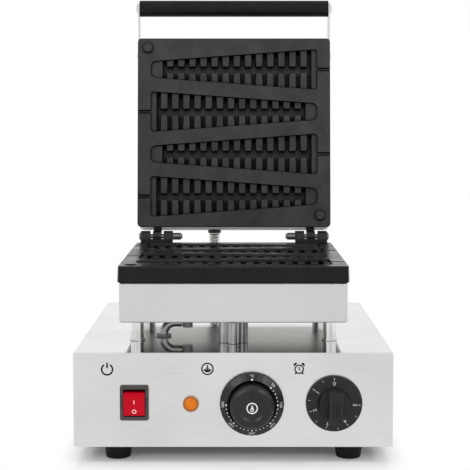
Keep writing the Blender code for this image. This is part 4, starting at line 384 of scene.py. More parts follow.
@dataclass(frozen=True)
class CoatedCasting(Finish):
    """Cast aluminium under a baked non-stick coat: charcoal, softly glossy, with a sprayed grain.

    Args:
        worn: Colour of the thin coat on high places.
        grit: Size of the sprayed grain in metres.
        painted_shade_reach: How far, in metres, painted shade reaches out of a corner.
        out: Direction of the casting's face, or None. Painted shade darkens what slopes away from
            it.
    """

    worn: str = "4b4b4d"
    grit: float = 0.45 * MM
    painted_shade_reach: float = 5.0 * MM
    out: Place | None = None

    def dress(self, nodes: Nodes) -> None:
        """Adds sprayed grain, flecks, the slow unevenness of a casting and painted shade in
        corners.

        Args:
            nodes: The material's nodes.
        """
        grain = nodes.noise(scale=1 / self.grit, detail=2.0, Roughness=0.65)
        slow = nodes.noise(scale=45.0, detail=4.0, Roughness=0.55)
        both = nodes.mix(0.4, grain, slow)
        colour = nodes.tint(both, self.colour, self.worn, ends=(0.36, 0.70))
        # Painted shade: ambient occlusion darkens the colour in corners and between the blocks.
        corners = nodes.add(
            "AmbientOcclusion", {"Distance": self.painted_shade_reach}, samples=8, only_local=True
        )
        shelter = corners.outputs["AO"]
        share = nodes.spread(shelter, low=0.46, high=0.95)
        # Painted shade: faces that slope away from the plate's face are darkened too.
        if self.out:
            share = nodes.math("MULTIPLY", share, self.unshaded_share(nodes, shelter))
        shaded_colour = nodes.out("VectorMath", {0: colour, "Scale": share}, operation="SCALE")
        nodes.feed("Base Color", shaded_colour)
        nodes.roughen(slow, self.roughness, swing=0.07)
        nodes.relief(nodes.mix(0.25, grain, slow), distance=0.05 * MM, strength=0.6)

    def unshaded_share(self, nodes: Nodes, shelter: Socket) -> Socket:
        """Finds how much of the painted shade on slopes a place is spared: slopes within the
        cavities get the darkest, open outer walls less.

        Args:
            nodes: The material's nodes.
            shelter: How open the place lies, from 0 to 1.

        Returns:
            Its share of the unshaded colour, from 0 to 1.
        """
        facing = nodes.vector("DOT_PRODUCT", nodes.where("Normal"), self.out)
        level = nodes.spread(facing, low=0.80, high=0.99, to_low=0.15)
        outside = nodes.spread(shelter, low=0.93, high=0.99, to_high=0.5)
        return nodes.math("MAXIMUM", level, outside)


@dataclass(frozen=True)
class MouldedPlastic(Finish):
    """Moulded plastic: an even colour with the fine spark grain of its mould.

    Args:
        grit: Size of the mould's grain in metres.
        height: Height of the grain in metres.
        light: Colour of the slightly paler places.
        coat: Weight of the clear gloss over it.
        glow: How much light goes through it, as subsurface weight.
        centre: Place on the panel, in millimetres, that fine turned rings run round, or None.
        ring: Spacing of the rings in metres.
        ridge: Height of the rings in metres.
    """

    grit: float = 0.3 * MM
    height: float = 0.012 * MM
    light: str = "3a3a3b"
    coat: float = 0.0
    glow: float = 0.0
    centre: Point | None = None
    ring: float = 0.22 * MM
    ridge: float = 0.08 * MM

    def dress(self, nodes: Nodes) -> None:
        """Adds the mould grain, faint flow marks and, where set, gloss, depth and turned rings.

        Args:
            nodes: The material's nodes.
        """
        nodes.put({"Coat Weight": self.coat, "Coat Roughness": 0.12})
        if self.glow:
            nodes.put(
                {
                    "Subsurface Weight": self.glow,
                    "Subsurface Radius": (1.0, 0.3, 0.1),
                    "Subsurface Scale": 1.5 * MM,
                }
            )
        flow = nodes.noise(scale=70.0, detail=3.0, Distortion=0.6)
        nodes.tint(flow, self.colour, self.light)
        nodes.roughen(flow, self.roughness, swing=0.05)
        if self.centre is None:
            nodes.relief(nodes.noise(scale=1 / self.grit, detail=1.0), self.height)
            return
        x, z = self.centre
        offset = nodes.vector("SUBTRACT", nodes.where(), (x * MM, 0.0, z * MM))
        away = nodes.vector("LENGTH", nodes.vector("MULTIPLY", offset, (1.0, 0.0, 1.0)))
        inputs = {"W": away, "Scale": 1 / self.ring, "Detail": 2.0}
        nodes.relief(nodes.out("TexNoise", inputs, noise_dimensions="1D"), self.ridge)


@dataclass(frozen=True)
class Fibrous(Finish):
    """Felted mineral wool or unglazed ceramic: chalky, with fibres or pores that catch the light.

    Args:
        dark: Colour between the fibres.
        size: Size of the fibres or pores in metres.
        stretch: How much longer than wide they are.
        height: Their height in metres.
    """

    dark: str = "b9b4a8"
    size: float = 0.8 * MM
    stretch: float = 6.0
    height: float = 0.2 * MM

    def dress(self, nodes: Nodes) -> None:
        """Adds tangled fibres or pores.

        Args:
            nodes: The material's nodes.
        """
        stretch = (1 / (self.size * self.stretch), 1 / self.size, 1 / self.size)
        fibres = nodes.noise(detail=4.0, stretch=stretch, Roughness=0.7, Distortion=1.2)
        nodes.tint(fibres, self.dark, self.colour, ends=(0.35, 0.6))
        nodes.relief(fibres, self.height, strength=0.7)


@dataclass(frozen=True)
class BraidedWire(Finish):
    """Braid of fine steel wire: bright diagonal strands with dark gaps, laid out by the tube's UV.

    Args:
        turns: Strands round the tube in one direction.
        rows: Crossings in each metre of the tube.
        dark: Colour in the gaps.
    """

    metallic: ClassVar[float] = 1.0
    turns: float = 14.0
    rows: float = 900.0
    dark: str = "55524e"

    def dress(self, nodes: Nodes) -> None:
        """Adds two sets of strands that cross over and under.

        Args:
            nodes: The material's nodes.
        """
        around = nodes.math("MULTIPLY", nodes.where("UV", "X"), self.turns)
        along = nodes.math("MULTIPLY", nodes.where("UV", "Y"), self.rows)
        strands = [
            nodes.math("PINGPONG", nodes.math(turn, around, along), 1.0)
            for turn in ("ADD", "SUBTRACT")
        ]
        over = nodes.math("MAXIMUM", *strands)
        nodes.tint(over, self.dark, self.colour, ends=(0.35, 0.75))
        nodes.relief(over, distance=0.08 * MM, strength=0.8)


@dataclass(frozen=True)
class PrintInk(Finish):
    """Screen-printed ink: a thin even film, slightly mottled where it sank into the surface.

    Args:
        light: Colour of its paler places.
    """

    light: str = "ffffff"

    def dress(self, nodes: Nodes) -> None:
        """Adds the mottle of the film.

        Args:
            nodes: The material's nodes.
        """
        mottle = nodes.noise(scale=3500.0, detail=1.0)
        nodes.tint(mottle, self.colour, self.light)
        nodes.roughen(mottle, self.roughness, swing=0.08)


STAINLESS = BrushedStainless("belt-ground stainless steel", "dddddc", 0.36, dark="d2d2d0")
# Painted shade: the lower housing's faces that look down are dark brown-grey in front and fade to
# pale behind.
HOUSING_STAINLESS = BrushedStainless(
    "satin stainless sheet", "d8d8d6", 0.38, dark="d0d0ce", painted_underside_shade=("54504b", "dcdad6")
)
BODY_STAINLESS = BrushedStainless(
    "stainless sheet, ground front and polished top", "e3e3e2", 0.36, glossy_above=99.95 * MM,
    dark="d0d0d0",
)
UPRIGHT_STAINLESS = BrushedStainless(
    "stainless strip ground along its length", "e0e0de", 0.30, grain=Grain.ALONG_Z, dark="d0d0ce"
)
POLISHED = TurnedSteel(
    "polished drawn steel", "e9e9e7", 0.20, grain=Grain.ALONG_Z, dark="c4c4c1", line=1.6 * MM
)
# The duct's dark streaks are partly drawn lines and partly painted reflection of the surroundings.
DUCT_STEEL_PAINTED_STREAKS = TurnedSteel(
    "drawn steel duct", "adacaa", 0.16, grain=Grain.ALONG_Z, dark="525150", line=3.0 * MM,
    ends=(0.42, 0.60),
)
CROSS_POLISHED = TurnedSteel("polished cross rod", "e4e4e2", 0.14, grain=Grain.ROUND_X)
ZINC_DARK = TurnedSteel(
    "zinc-plated hinge bolt", "8b8986", 0.30, grain=Grain.ROUND_X, dark="5f5d5a"
)
ZINC_TUBE = TurnedSteel("nickel-plated heater tube", "b4b1aa", 0.32, dark="8d8a84")
# The lower plate has the same coat as the lid; its darker colour is painted shade.
LOWER_COATED_PAINTED_DARKER = CoatedCasting(
    "cast aluminium with non-stick coat", "0e0e0f", 0.27, 0.18, worn="1c1c1d", grit=0.7 * MM,
    out=(0.0, 0.0, 1.0),
)
LID_COATED = CoatedCasting(
    "cast aluminium with non-stick coat, in the lid", "262627", 0.50, 0.04, worn="3e3e3f",
    grit=0.7 * MM, out=(0.0, -0.9953962, 0.0958458),
)
CAST_BLACK = CoatedCasting("black enamelled casting", "121213", 0.40, 0.30, worn="1e1e1f")
KNOB_PLASTIC = MouldedPlastic("moulded black phenolic", "161617", 0.30, 0.30, light="1e1e1f")
DIAL_PLASTIC = MouldedPlastic(
    "turned black phenolic of the heat dial", "141415", 0.30, 0.34, light="1b1b1c", centre=DIAL_AT
)
SKIRT_PLASTIC = MouldedPlastic(
    "turned black phenolic of the timer", "131314", 0.30, 0.32, light="19191a", centre=TIMER_AT
)
GRIP_PLASTIC = MouldedPlastic("black handle phenolic", "141415", 0.36, 0.36, light="1f1f20")
BEZEL_PLASTIC = MouldedPlastic("dark grey nylon", "3a3837", 0.45, 0.30, light="474443")
PALE_PLASTIC = MouldedPlastic("pale grey nylon", "a2a2a2", 0.35, 0.45, light="b2b2b2")
GREY_PLASTIC = MouldedPlastic("grey nylon", "77777a", 0.45, 0.40, light="838386")
RED_PLASTIC = MouldedPlastic(
    "red polycarbonate", "b8061c", 0.40, 0.08, height=0.004 * MM, light="c20a22", glow=0.05
)
ORANGE_PLASTIC = MouldedPlastic(
    "orange polycarbonate", "d06a0e", 0.36, 0.15, height=0.004 * MM, light="dc7c1c", coat=0.05,
    glow=0.1,
)
LAMP_RIM_PLASTIC = MouldedPlastic(
    "tinted lamp rim", "a0663a", 0.32, 0.4, height=0.004 * MM, light="ae7444", coat=0.2
)
RUBBER = MouldedPlastic(
    "moulded black rubber", "0d0d0e", 0.72, 0.25, grit=0.5 * MM, height=0.03 * MM, light="17171a"
)
WOOL = Fibrous("mineral wool felt", "dcd6c8", 0.95, 0.1)
CERAMIC = Fibrous(
    "unglazed steatite", "e4ddcc", 0.62, 0.35, dark="cfc6b2", size=0.5 * MM, stretch=1.0,
    height=0.02 * MM,
)
BRAID = BraidedWire("braid of steel wire", "cccac7", 0.38)
WHITE_INK = PrintInk("white printed ink", "d9d9d9", 0.5, 0.3, light="f0f0f0")
GREY_INK = PrintInk("grey printed ink", "b9b9b9", 0.5, 0.3, light="d2d2d2")
BLACK_INK = PrintInk("black printed ink", "050505", 0.6, 0.15, light="0c0c0c")
PINK_INK = PrintInk("pale printed ink", "f6c3c8", 0.45, 0.3, light="ffd9dc")

# The CAD nodes whose shape is right as it is, by finish
CAD_FINISHES: dict[Finish, str] = {
    BODY_STAINLESS: "body_shell",
    STAINLESS: "bottom_cover lid_housing lid_cover lower_heat_shield lid_heat_shield",
    HOUSING_STAINLESS: "lower_housing",
    UPRIGHT_STAINLESS: "handle_arm_left handle_arm_right",
    DUCT_STEEL_PAINTED_STREAKS: "wire_duct",
    POLISHED: "post_front_left post_front_right post_rear_left post_rear_right",
    ZINC_DARK: "hinge_pin_left hinge_pin_right",
    CROSS_POLISHED: "arm_screw_left arm_screw_right handle_rod",
    ZINC_TUBE: "lower_heater lid_heater thermostat_capillary",
    PALE_PLASTIC: "conduit_gland conduit_grommet hose_gland",
    BEZEL_PLASTIC: "cord_gland lid_gland switch_housing",
    RED_PLASTIC: "rocker",
    DIAL_PLASTIC: "thermostat_dial",
    CERAMIC: "thermostat_body terminal_block",
    GREY_PLASTIC: "timer_body lamp_body",
    WOOL: "lower_insulation lid_insulation",
    RUBBER: "foot_front_left foot_front_right foot_rear_left foot_rear_right",
}


def deselect() -> None:
    """Leaves edit mode and deselects all."""
    if bpy.context.mode != "OBJECT":
        bpy.ops.object.mode_set(mode="OBJECT")
    bpy.ops.object.select_all(action="DESELECT")


def activate(piece: Piece) -> None:
    """Makes one object the only selected one, and the active one.

    Args:
        piece: The object.
    """
    deselect()
    piece.select_set(True)
    bpy.context.view_layer.objects.active = piece


def settle(piece: Piece, name: str, place: Matrix | None = None) -> Piece:
    """Names a piece and puts its place into its mesh.

    Args:
        piece: The object that the operators made.
        name: The piece's name.
        place: Where the piece goes, in the frame.

    Returns:
        The same object, at the origin, unturned and unscaled.
    """
    deselect()
    piece.name = name
    piece.data.name = name
    piece.data.transform((place or Matrix()) @ piece.matrix_basis)
    piece.matrix_basis = Matrix()
    return piece


def dress(
    piece: Piece, finish: Finish, body: str, smooth: float = 35.0
) -> Piece:
    """Gives a piece its material, its smoothness and the body that it rides on.

    Args:
        piece: The finished piece.
        finish: Its finish.
        body: The CAD body that it moves with.
        smooth: Angle in degrees under which edges are smooth, while large faces stay flat.

    Returns:
        The same piece.
    """
    activate(piece)
    bpy.ops.object.shade_smooth_by_angle(angle=math.radians(smooth))
    evening = piece.modifiers.new("evening", "WEIGHTED_NORMAL")
    evening.mode = "FACE_AREA"
    evening.weight = 50
    evening.keep_sharp = True
    bpy.ops.object.modifier_apply(modifier="evening")
    deselect()
    piece.data.materials.clear()
    piece.data.materials.append(finish.material())
    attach(piece, body)
    LOG.info("%s: %d faces, rides on %s", piece.name, len(piece.data.polygons), body)
    return piece


def turned(name: str, profile: Sequence[Point], place: Matrix, sides: int = 96) -> Piece:
    """Makes a round piece from a circle that is extruded and resized from ring to ring.

    Args:
        name: The piece's name.
        profile: Radius and height of each ring in millimetres, from the back to the front.
        place: Where the piece goes, with its axis along local Z.
        sides: Facets round it.

    Returns:
        The piece.
    """
    deselect()
    profile = [(radius * MM, height * MM) for radius, height in profile]
    bpy.ops.mesh.primitive_circle_add(
        vertices=sides, radius=profile[0][0], fill_type="NGON", location=(0, 0, profile[0][1])
    )
    piece = bpy.context.object
    piece.data.transform(piece.matrix_basis)
    piece.matrix_basis = Matrix()
    bpy.ops.object.mode_set(mode="EDIT")
    bpy.ops.mesh.select_all(action="SELECT")
    for (radius, height), (next_radius, next_height) in zip(profile, profile[1:]):
        bpy.ops.mesh.extrude_region_move(
            TRANSFORM_OT_translate={"value": (0, 0, next_height - height)}
        )
        ratio = next_radius / radius
        bpy.ops.transform.resize(value=(ratio, ratio, 1), center_override=(0, 0, next_height))
    bpy.ops.mesh.select_all(action="SELECT")
    bpy.ops.mesh.normals_make_consistent(inside=False)
    bpy.ops.object.mode_set(mode="OBJECT")
    return settle(piece, name, place)


def block(name: str, size: Place, middle: Place) -> Piece:
    """Makes a plain block.

    Args:
        name: The piece's name.
        size: Its widths along the axes, in millimetres.
        middle: Its middle, in millimetres.

    Returns:
        The block.
    """
    deselect()
    bpy.ops.mesh.primitive_cube_add(size=1.0)
    piece = bpy.context.object
    piece.scale = Vector(size) * MM
    piece.location = Vector(middle) * MM
    bpy.context.view_layer.update()
    return settle(piece, name)


def soften(piece: Piece, width: float, angle: float = 30.0) -> None:
    """Rounds the edges of a piece.

    Args:
        piece: The piece.
        width: Width of the rounding in metres.
        angle: Edges sharper than this, in degrees, are rounded.
    """
    activate(piece)
    rounding = piece.modifiers.new("rounding", "BEVEL")
    rounding.width = width
    rounding.segments = 3
    rounding.limit_method = "ANGLE"
    rounding.angle_limit = math.radians(angle)
    bpy.ops.object.modifier_apply(modifier="rounding")
    deselect()


def select_faces(test: Callable[[Face], bool]) -> None:
    """Selects, in edit mode, the faces that pass a test.

    Args:
        test: What a face has to pass.
    """
    mesh = bpy.context.edit_object.data
    shape = bmesh.from_edit_mesh(mesh)
    for face in shape.faces:
        face.select_set(test(face))
    shape.select_flush_mode()
    bmesh.update_edit_mesh(mesh)


def cad_nodes() -> dict[str, Piece]:
    """Gives the CAD nodes by name."""
    nodes = [piece for piece in bpy.data.objects if "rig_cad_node" in piece.keys()]
    return {piece["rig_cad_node"]: piece for piece in nodes}


def merged_copy(node: str) -> Piece:
    """Copies a CAD node and merges its loose triangles into flat faces.

    Args:
        node: Name of the CAD node.

    Returns:
        The copy, with no parent, named as the node's casting.
    """
    activate(cad_nodes()[node])
    bpy.ops.object.duplicate()
    copy = bpy.context.object
    copy.parent = None
    copy.matrix_world = Matrix()
    for key in list(copy.keys()):
        del copy[key]
    copy.name = f"{node}_casting"
    copy.data.name = copy.name
    bpy.ops.mesh.customdata_custom_splitnormals_clear()
    bpy.ops.object.mode_set(mode="EDIT")
    bpy.ops.mesh.select_all(action="SELECT")
    bpy.ops.mesh.remove_doubles(threshold=0.002 * MM)
    bpy.ops.mesh.dissolve_limited(angle_limit=math.radians(0.6))
    bpy.ops.object.mode_set(mode="OBJECT")
    return copy


def joined(pieces: Sequence[Piece], name: str) -> Piece:
    """Joins pieces into one object.

    Args:
        pieces: The pieces.
        name: Name of the whole.

    Returns:
        The whole.
    """
    deselect()
    for piece in pieces:
        piece.select_set(True)
    bpy.context.view_layer.objects.active = pieces[0]
    if len(pieces) > 1:
        bpy.ops.object.join()
    return settle(bpy.context.view_layer.objects.active, name)


def panel_place(x: float, z: float, proud: float = 0.0) -> Matrix:
    """Gives a place on the panel, in millimetres: X right, Y up, Z to the viewer."""
    spot = Matrix.Translation((x * MM, PANEL_Y - proud * MM, z * MM))
    return spot @ Matrix.Rotation(math.pi / 2, 4, "X")


def surface_place(node: str, x: float, z: float, outward: Vector | None = None) -> Matrix:
    """Finds the place on a CAD node that a line straight back from the front meets.

    Args:
        node: Name of the CAD node.
        x: Where the line is, to the right of the middle, in millimetres.
        z: Its height above the floor, in millimetres.
        outward: Direction that the print's top is turned to, or None for up.

    Returns:
        A place with local Z out of the surface and Y as nearly along outward as it can be.

    Raises:
        ValueError: If the line misses the node.
    """
    shape = bmesh.new()
    shape.from_mesh(cad_nodes()[node].data)
    line = (Vector((x * MM, -1, z * MM)), Vector((0, 1, 0)))
    hit, normal, _, _ = BVHTree.FromBMesh(shape).ray_cast(*line)
    shape.free()
    if hit is None:
        raise ValueError(f"nothing of {node} at {x}, {z}")
    top = outward or Vector((0, 0, 1))
    up = (top - normal * normal.dot(top)).normalized()
    basis = Matrix((up.cross(normal), up, normal)).transposed().to_4x4()
    return Matrix.Translation(hit) @ basis


def dial_place(node: str, middle: Point, angle: float, radius: float) -> Matrix:
    """Finds a place on a round scale, turned so that up is outwards.

    Args:
        node: CAD node that carries the scale.
        middle: Its middle on the panel, in millimetres.
        angle: Degrees clockwise from the top.
        radius: Distance from the middle, in millimetres.

    Returns:
        The place.
    """
    turn = math.radians(angle)
    outward = Vector((math.sin(turn), 0, math.cos(turn)))
    x, z = middle
    return surface_place(node, x + radius * outward.x, z + radius * outward.z, outward)


@dataclass(frozen=True)
class Stroke:
    """One line of a printed mark, as a pen would draw it, in millimetres.

    Args:
        points: Corners of the line on the printed surface.
        width: Width of the line.
        closed: Whether it ends where it starts.
    """

    points: Sequence[Point]
    width: float
    closed: bool = False


def arc(centre: Point, radius: float, start: float, end: float, steps: int = 24) -> list[Point]:
    """Gives points along an arc.

    Args:
        centre: Middle of the arc.
        radius: Its radius.
        start: First angle in degrees, clockwise from the top.
        end: Last angle.
        steps: Pieces that the arc is cut into.

    Returns:
        The points.
    """
    angles = [math.radians(start + (end - start) * step / steps) for step in range(steps + 1)]
    return [
        (centre[0] + radius * math.sin(angle), centre[1] + radius * math.cos(angle))
        for angle in angles
    ]


def ring(centre: Point, radius: float, width: float, steps: int = 48) -> Stroke:
    """Gives a closed ring as one stroke."""
    return Stroke(arc(centre, radius, 0, 360, steps)[:-1], width, True)


def printed_strokes(strokes: Iterable[Stroke], place: Matrix, film: float = FILM) -> Piece:
    """Draws strokes as thin raised ink.

    Args:
        strokes: The lines of the mark.
        place: Where the printed surface is, with its face along local Z.
        film: Height of the ink in metres.

    Returns:
        The mark, not yet named.
    """
    pieces = []
    for stroke in strokes:
        line = bpy.data.curves.new("ink", "CURVE")
        line.dimensions = "3D"
        line.bevel_depth = stroke.width * MM / 2
        line.bevel_resolution = 2
        line.use_fill_caps = not stroke.closed
        spline = line.splines.new("POLY")
        spline.points.add(len(stroke.points) - 1)
        for target, (x, y) in zip(spline.points, stroke.points):
            target.co = (x * MM, y * MM, 0, 1)
        spline.use_cyclic_u = stroke.closed
        piece = bpy.data.objects.new("ink", line)
        bpy.context.scene.collection.objects.link(piece)
        activate(piece)
        bpy.ops.object.convert(target="MESH")
        flat = Matrix.Diagonal((1, 1, 2 * film / (stroke.width * MM), 1))
        pieces.append(settle(bpy.context.object, "ink", place @ flat))
    return joined(pieces, "ink")


def printed_text(words: str, size: float, place: Matrix) -> Piece:
    """Prints a short generic number or unit.

    Args:
        words: What is printed.
        size: Height of the letters in millimetres.
        place: Middle of the print, with its face along local Z.

    Returns:
        The print, not yet named.
    """
    deselect()
    bpy.ops.object.text_add()
    text = bpy.context.object.data
    text.body = words
    text.size = size * MM / CAPITAL
    text.align_x = "CENTER"
    text.align_y = "CENTER"
    text.extrude = FILM
    text.offset = size * MM * LETTER_WEIGHT
    bpy.ops.object.convert(target="MESH")
    return settle(bpy.context.object, "ink", place)


def tube_along(
    name: str, points: Sequence[Vector], radii: Sequence[float], sides: int = 32
) -> Piece:
    """Makes a tube along a route, with its own UV: once round across, and metres along.

    Args:
        name: The tube's name.
        points: The route, from end to end.
        radii: The tube's radius at each point.
        sides: Facets round it.

    Returns:
        The tube.
    """
    shape = bmesh.new()
    uv = shape.loops.layers.uv.new("route")
    rings, travelled, along = [], [], 0.0
    ahead = (points[1] - points[0]).normalized()
    other = Vector((1, 0, 0)) if abs(ahead.x) < ALONG else Vector((0, 1, 0))
    side = ahead.cross(other).normalized()
    for index, (point, radius) in enumerate(zip(points, radii)):
        before = points[max(index - 1, 0)]
        ahead = (points[min(index + 1, len(points) - 1)] - before).normalized()
        side = (side - side.dot(ahead) * ahead).normalized()
        other = ahead.cross(side)
        along += (point - before).length
        travelled.append(along)
        turns = [2 * math.pi * step / sides for step in range(sides)]
        rings.append(
            [
                shape.verts.new(
                    point + radius * math.cos(turn) * side + radius * math.sin(turn) * other
                )
                for turn in turns
            ]
        )
    for row in range(len(rings) - 1):
        for step in range(sides):
            corners = ((step, row), (step + 1, row), (step + 1, row + 1), (step, row + 1))
            face = shape.faces.new([rings[level][across % sides] for across, level in corners])
            for loop, (across, level) in zip(face.loops, corners):
                loop[uv].uv = (across / sides, travelled[level])
    shape.faces.new(list(reversed(rings[0])))
    shape.faces.new(rings[-1])
    bmesh.ops.recalc_face_normals(shape, faces=shape.faces)
    mesh = bpy.data.meshes.new(name)
    shape.to_mesh(mesh)
    shape.free()
    piece = bpy.data.objects.new(name, mesh)
    bpy.context.scene.collection.objects.link(piece)
    return piece


def evenly_spaced(points: Sequence[Vector], count: int) -> list[Vector]:
    """Gives evenly spaced points along a line of short straight pieces.

    Args:
        points: Corners of the line.
        count: Pieces that it is cut into.

    Returns:
        One more point than pieces.
    """
    sums = [0.0]
    for before, after in zip(points, points[1:]):
        sums.append(sums[-1] + (after - before).length)
    found, index = [], 0
    for number in range(count + 1):
        goal = sums[-1] * number / count
        while index < len(sums) - 2 and sums[index + 1] < goal:
            index += 1
        share = (goal - sums[index]) / (sums[index + 1] - sums[index])
        found.append(points[index].lerp(points[index + 1], min(max(share, 0.0), 1.0)))
    return found


def along_route(knots: Sequence[Vector], count: int) -> list[Vector]:
    """Gives evenly spaced points along a smooth route through the knots.

    Args:
        knots: Points that the route passes.
        count: Pieces that the route is cut into.

    Returns:
        One more point than pieces.
    """
    fine, cuts = [], 8
    ends = [2 * knots[0] - knots[1], *knots, 2 * knots[-1] - knots[-2]]
    for a, b, c, d in zip(ends, ends[1:], ends[2:], ends[3:]):
        for step in range(cuts):
            t = step / cuts
            fine.append(
                (2 * b + (c - a) * t + (2 * a - 5 * b + 4 * c - d) * t**2
                 + (3 * b - a - 3 * c + d) * t**3) / 2
            )
    return evenly_spaced([*fine, knots[-1]], count)


@dataclass
class Carcass:
    """Body, feet, posts, housings and all else whose CAD shape is right as it is."""

    def build(self) -> None:
        """Gives each carried-over CAD node its finish."""
        nodes = cad_nodes()
        for finish, names in CAD_FINISHES.items():
            for name in names.split():
                nodes[name].data.materials.clear()
                nodes[name].data.materials.append(finish.material())
                LOG.info("%s: finished as %s", name, finish.title)


@dataclass
class WafflePlate:
    """One cast plate, copied from its CAD node with the edges of the casting rounded.

    Args:
        node: CAD node that the casting replaces.
        body: CAD body that it moves with.
        finish: Its coat, which also says where the plate's face looks at rest.
        corner: Width of the rounding on a block's upright corners.
        edge: Width of the rounding on the rims of the face.
        top: Width of the rounding on the rims of the blocks.
        tall: Upright edges longer than this belong to the blocks.
        ledge: Depth of the blocks' tops under the face.
        tops: Shares of that depth between which an edge counts as a block's top.
        corner_turn: A block's upright corner turns by more than this, in degrees.
        rim_turn: A rim turns by more than this, in degrees.
        slant: Rise against run of the cavities' long walls, least and most.
    """

    node: str
    body: str
    finish: CoatedCasting
    corner: float = 1.1 * MM
    edge: float = 0.25 * MM
    top: float = 0.55 * MM
    tall: float = 6.0 * MM
    ledge: float = 2.0 * MM
    tops: Point = (0.95, 1.25)
    corner_turn: float = 75.0
    rim_turn: float = 35.0
    slant: Point = (0.03, 0.12)
    out: Vector = field(init=False)

    def __post_init__(self) -> None:
        """Reads the direction of the plate's face off its finish."""
        self.out = Vector(self.finish.out or ())

    def build(self) -> None:
        """Makes the casting and dresses it."""
        piece = merged_copy(self.node)
        self.round_off(piece)
        dress(piece, self.finish, self.body, smooth=40.0)
        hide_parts(self.node)

    def round_off(self, piece: Piece) -> None:
        """Rounds the blocks' upright corners in edit mode, and then the rims a little.

        Args:
            piece: The merged copy of the CAD plate.
        """
        activate(piece)
        bpy.ops.object.mode_set(mode="EDIT")
        for test, width, segments in (
            (self.is_corner, self.corner, 3),
            (partial(self.is_rim, sunken=True), self.top, 2),
            (self.is_rim, self.edge, 2),
        ):
            bpy.ops.mesh.select_all(action="DESELECT")
            shape = bmesh.from_edit_mesh(piece.data)
            flat = [face for face in shape.faces if face.normal.dot(self.out) > ALONG]
            face = max(flat, key=lambda item: item.calc_area())
            level = face.verts[0].co.dot(self.out)
            for edge in shape.edges:
                edge.select_set(test(edge, level))
            bmesh.update_edit_mesh(piece.data)
            bpy.ops.mesh.bevel(
                offset=width, segments=segments, affect="EDGES", clamp_overlap=False
            )
        bpy.ops.object.mode_set(mode="OBJECT")

    def is_corner(self, edge: Edge, level: float) -> bool:
        """Tells whether an edge is an upright corner of a block.

        Args:
            edge: The edge.
            level: Height of the plate's face along its own direction.

        Returns:
            True for an upright corner.
        """
        line = edge.verts[1].co - edge.verts[0].co
        upright = abs(line.normalized().dot(self.out)) > ALONG and line.length > self.tall
        below = min(end.co.dot(self.out) for end in edge.verts) < level - self.tall
        turn = math.degrees(edge.calc_face_angle_signed(0))
        return upright and below and turn > self.corner_turn

    def is_rim(self, edge: Edge, level: float, sunken: bool = False) -> bool:
        """Tells whether an edge bounds the face or, where asked, a block's top.

        Args:
            edge: The edge.
            level: Height of the plate's face along its own direction.
            sunken: True for a block's top, False for the face.

        Returns:
            True for a rim, but not where a block's top runs along a cavity's wall.
        """
        first, last = (end.co.dot(self.out) - level for end in edge.verts)
        if min(first, last) < -self.tops[1] * self.ledge:
            return False
        if math.degrees(edge.calc_face_angle_signed(0)) < self.rim_turn:
            return False
        if max(first, last) > -self.tops[0] * self.ledge:
            return not sunken
        line = edge.verts[1].co - edge.verts[0].co
        run = abs(line.x)
        rise = abs(line.dot(self.out.cross(Vector((1, 0, 0)))))
        return sunken and not self.slant[0] * run < rise < self.slant[1] * run


@dataclass
class HingeCastings:
    """The black hinge brackets and arms, with the soft edges of a casting.

    Args:
        edge: Width of the rounding.
    """

    edge: float = 0.5 * MM

    def build(self) -> None:
        """Makes and dresses the four castings."""
        for part, body in (("bracket", "base"), ("arm", "lid")):
            for side in ("left", "right"):
                node = f"hinge_{part}_{side}"
                piece = merged_copy(node)
                soften(piece, self.edge)
                dress(piece, CAST_BLACK, body)
                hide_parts(node)


@dataclass
class PanelMarks:
    """Printed signs above the controls, power, heat and clock, in millimetres.

    Args:
        height: Height of the signs' middle above the floor.
        power_x: Place of the power sign.
        heat_x: Place of the heat sign.
        clock_x: Place of the clock sign.
        line: Width of the printed lines.
    """

    height: float = 86.0
    power_x: float = -110.0
    heat_x: float = -22.5
    clock_x: float = 57.5
    line: float = 1.45

    def build(self) -> None:
        """Prints the three signs."""
        for name, x, strokes in (
            ("power_mark", self.power_x, self.power()),
            ("heat_mark", self.heat_x, self.heat()),
            ("clock_mark", self.clock_x, self.clock()),
        ):
            mark = printed_strokes(strokes, panel_place(x, self.height))
            mark.name = name
            dress(mark, BLACK_INK, "base")

    def power(self) -> list[Stroke]:
        """Draws a broken ring with a bar.

        Returns:
            Its strokes.
        """
        return [
            Stroke(arc((0, -0.5), radius=4.75, start=32, end=328, steps=40), self.line),
            Stroke([(0, 0.6), (0, 5.6)], self.line),
        ]

    def heat(self) -> list[Stroke]:
        """Draws a ring with an arrow over a dish.

        Returns:
            Its strokes.
        """
        return [
            ring((0, 0), radius=4.9, width=self.line * 0.85),
            Stroke([(0, 0.2), (0, 3.4)], width=self.line * 0.8),
            Stroke([(-1.2, 0.4), (0, -1.0), (1.2, 0.4)], width=self.line * 0.8),
            Stroke(arc((0, 0.8), radius=2.9, start=112, end=248, steps=16), width=1.9),
        ]

    def clock(self) -> list[Stroke]:
        """Draws an alarm clock.

        Returns:
            Its strokes.
        """
        strokes = [
            ring((0, -0.3), radius=3.6, width=self.line * 0.8),
            Stroke([(0, 1.6), (0, -0.4), (1.3, -1.2)], width=self.line * 0.65),
        ]
        for side in (-1, 1):
            ends = {"start": side * 45 - 95, "end": side * 45 + 95}
            bell = arc((side * 3.0, 3.5), radius=0.9, steps=10, **ends)
            strokes.append(Stroke(bell, width=2.0))
            strokes.append(Stroke([(side * 2.5, -3.2), (side * 3.5, -4.6)], self.line))
        return strokes


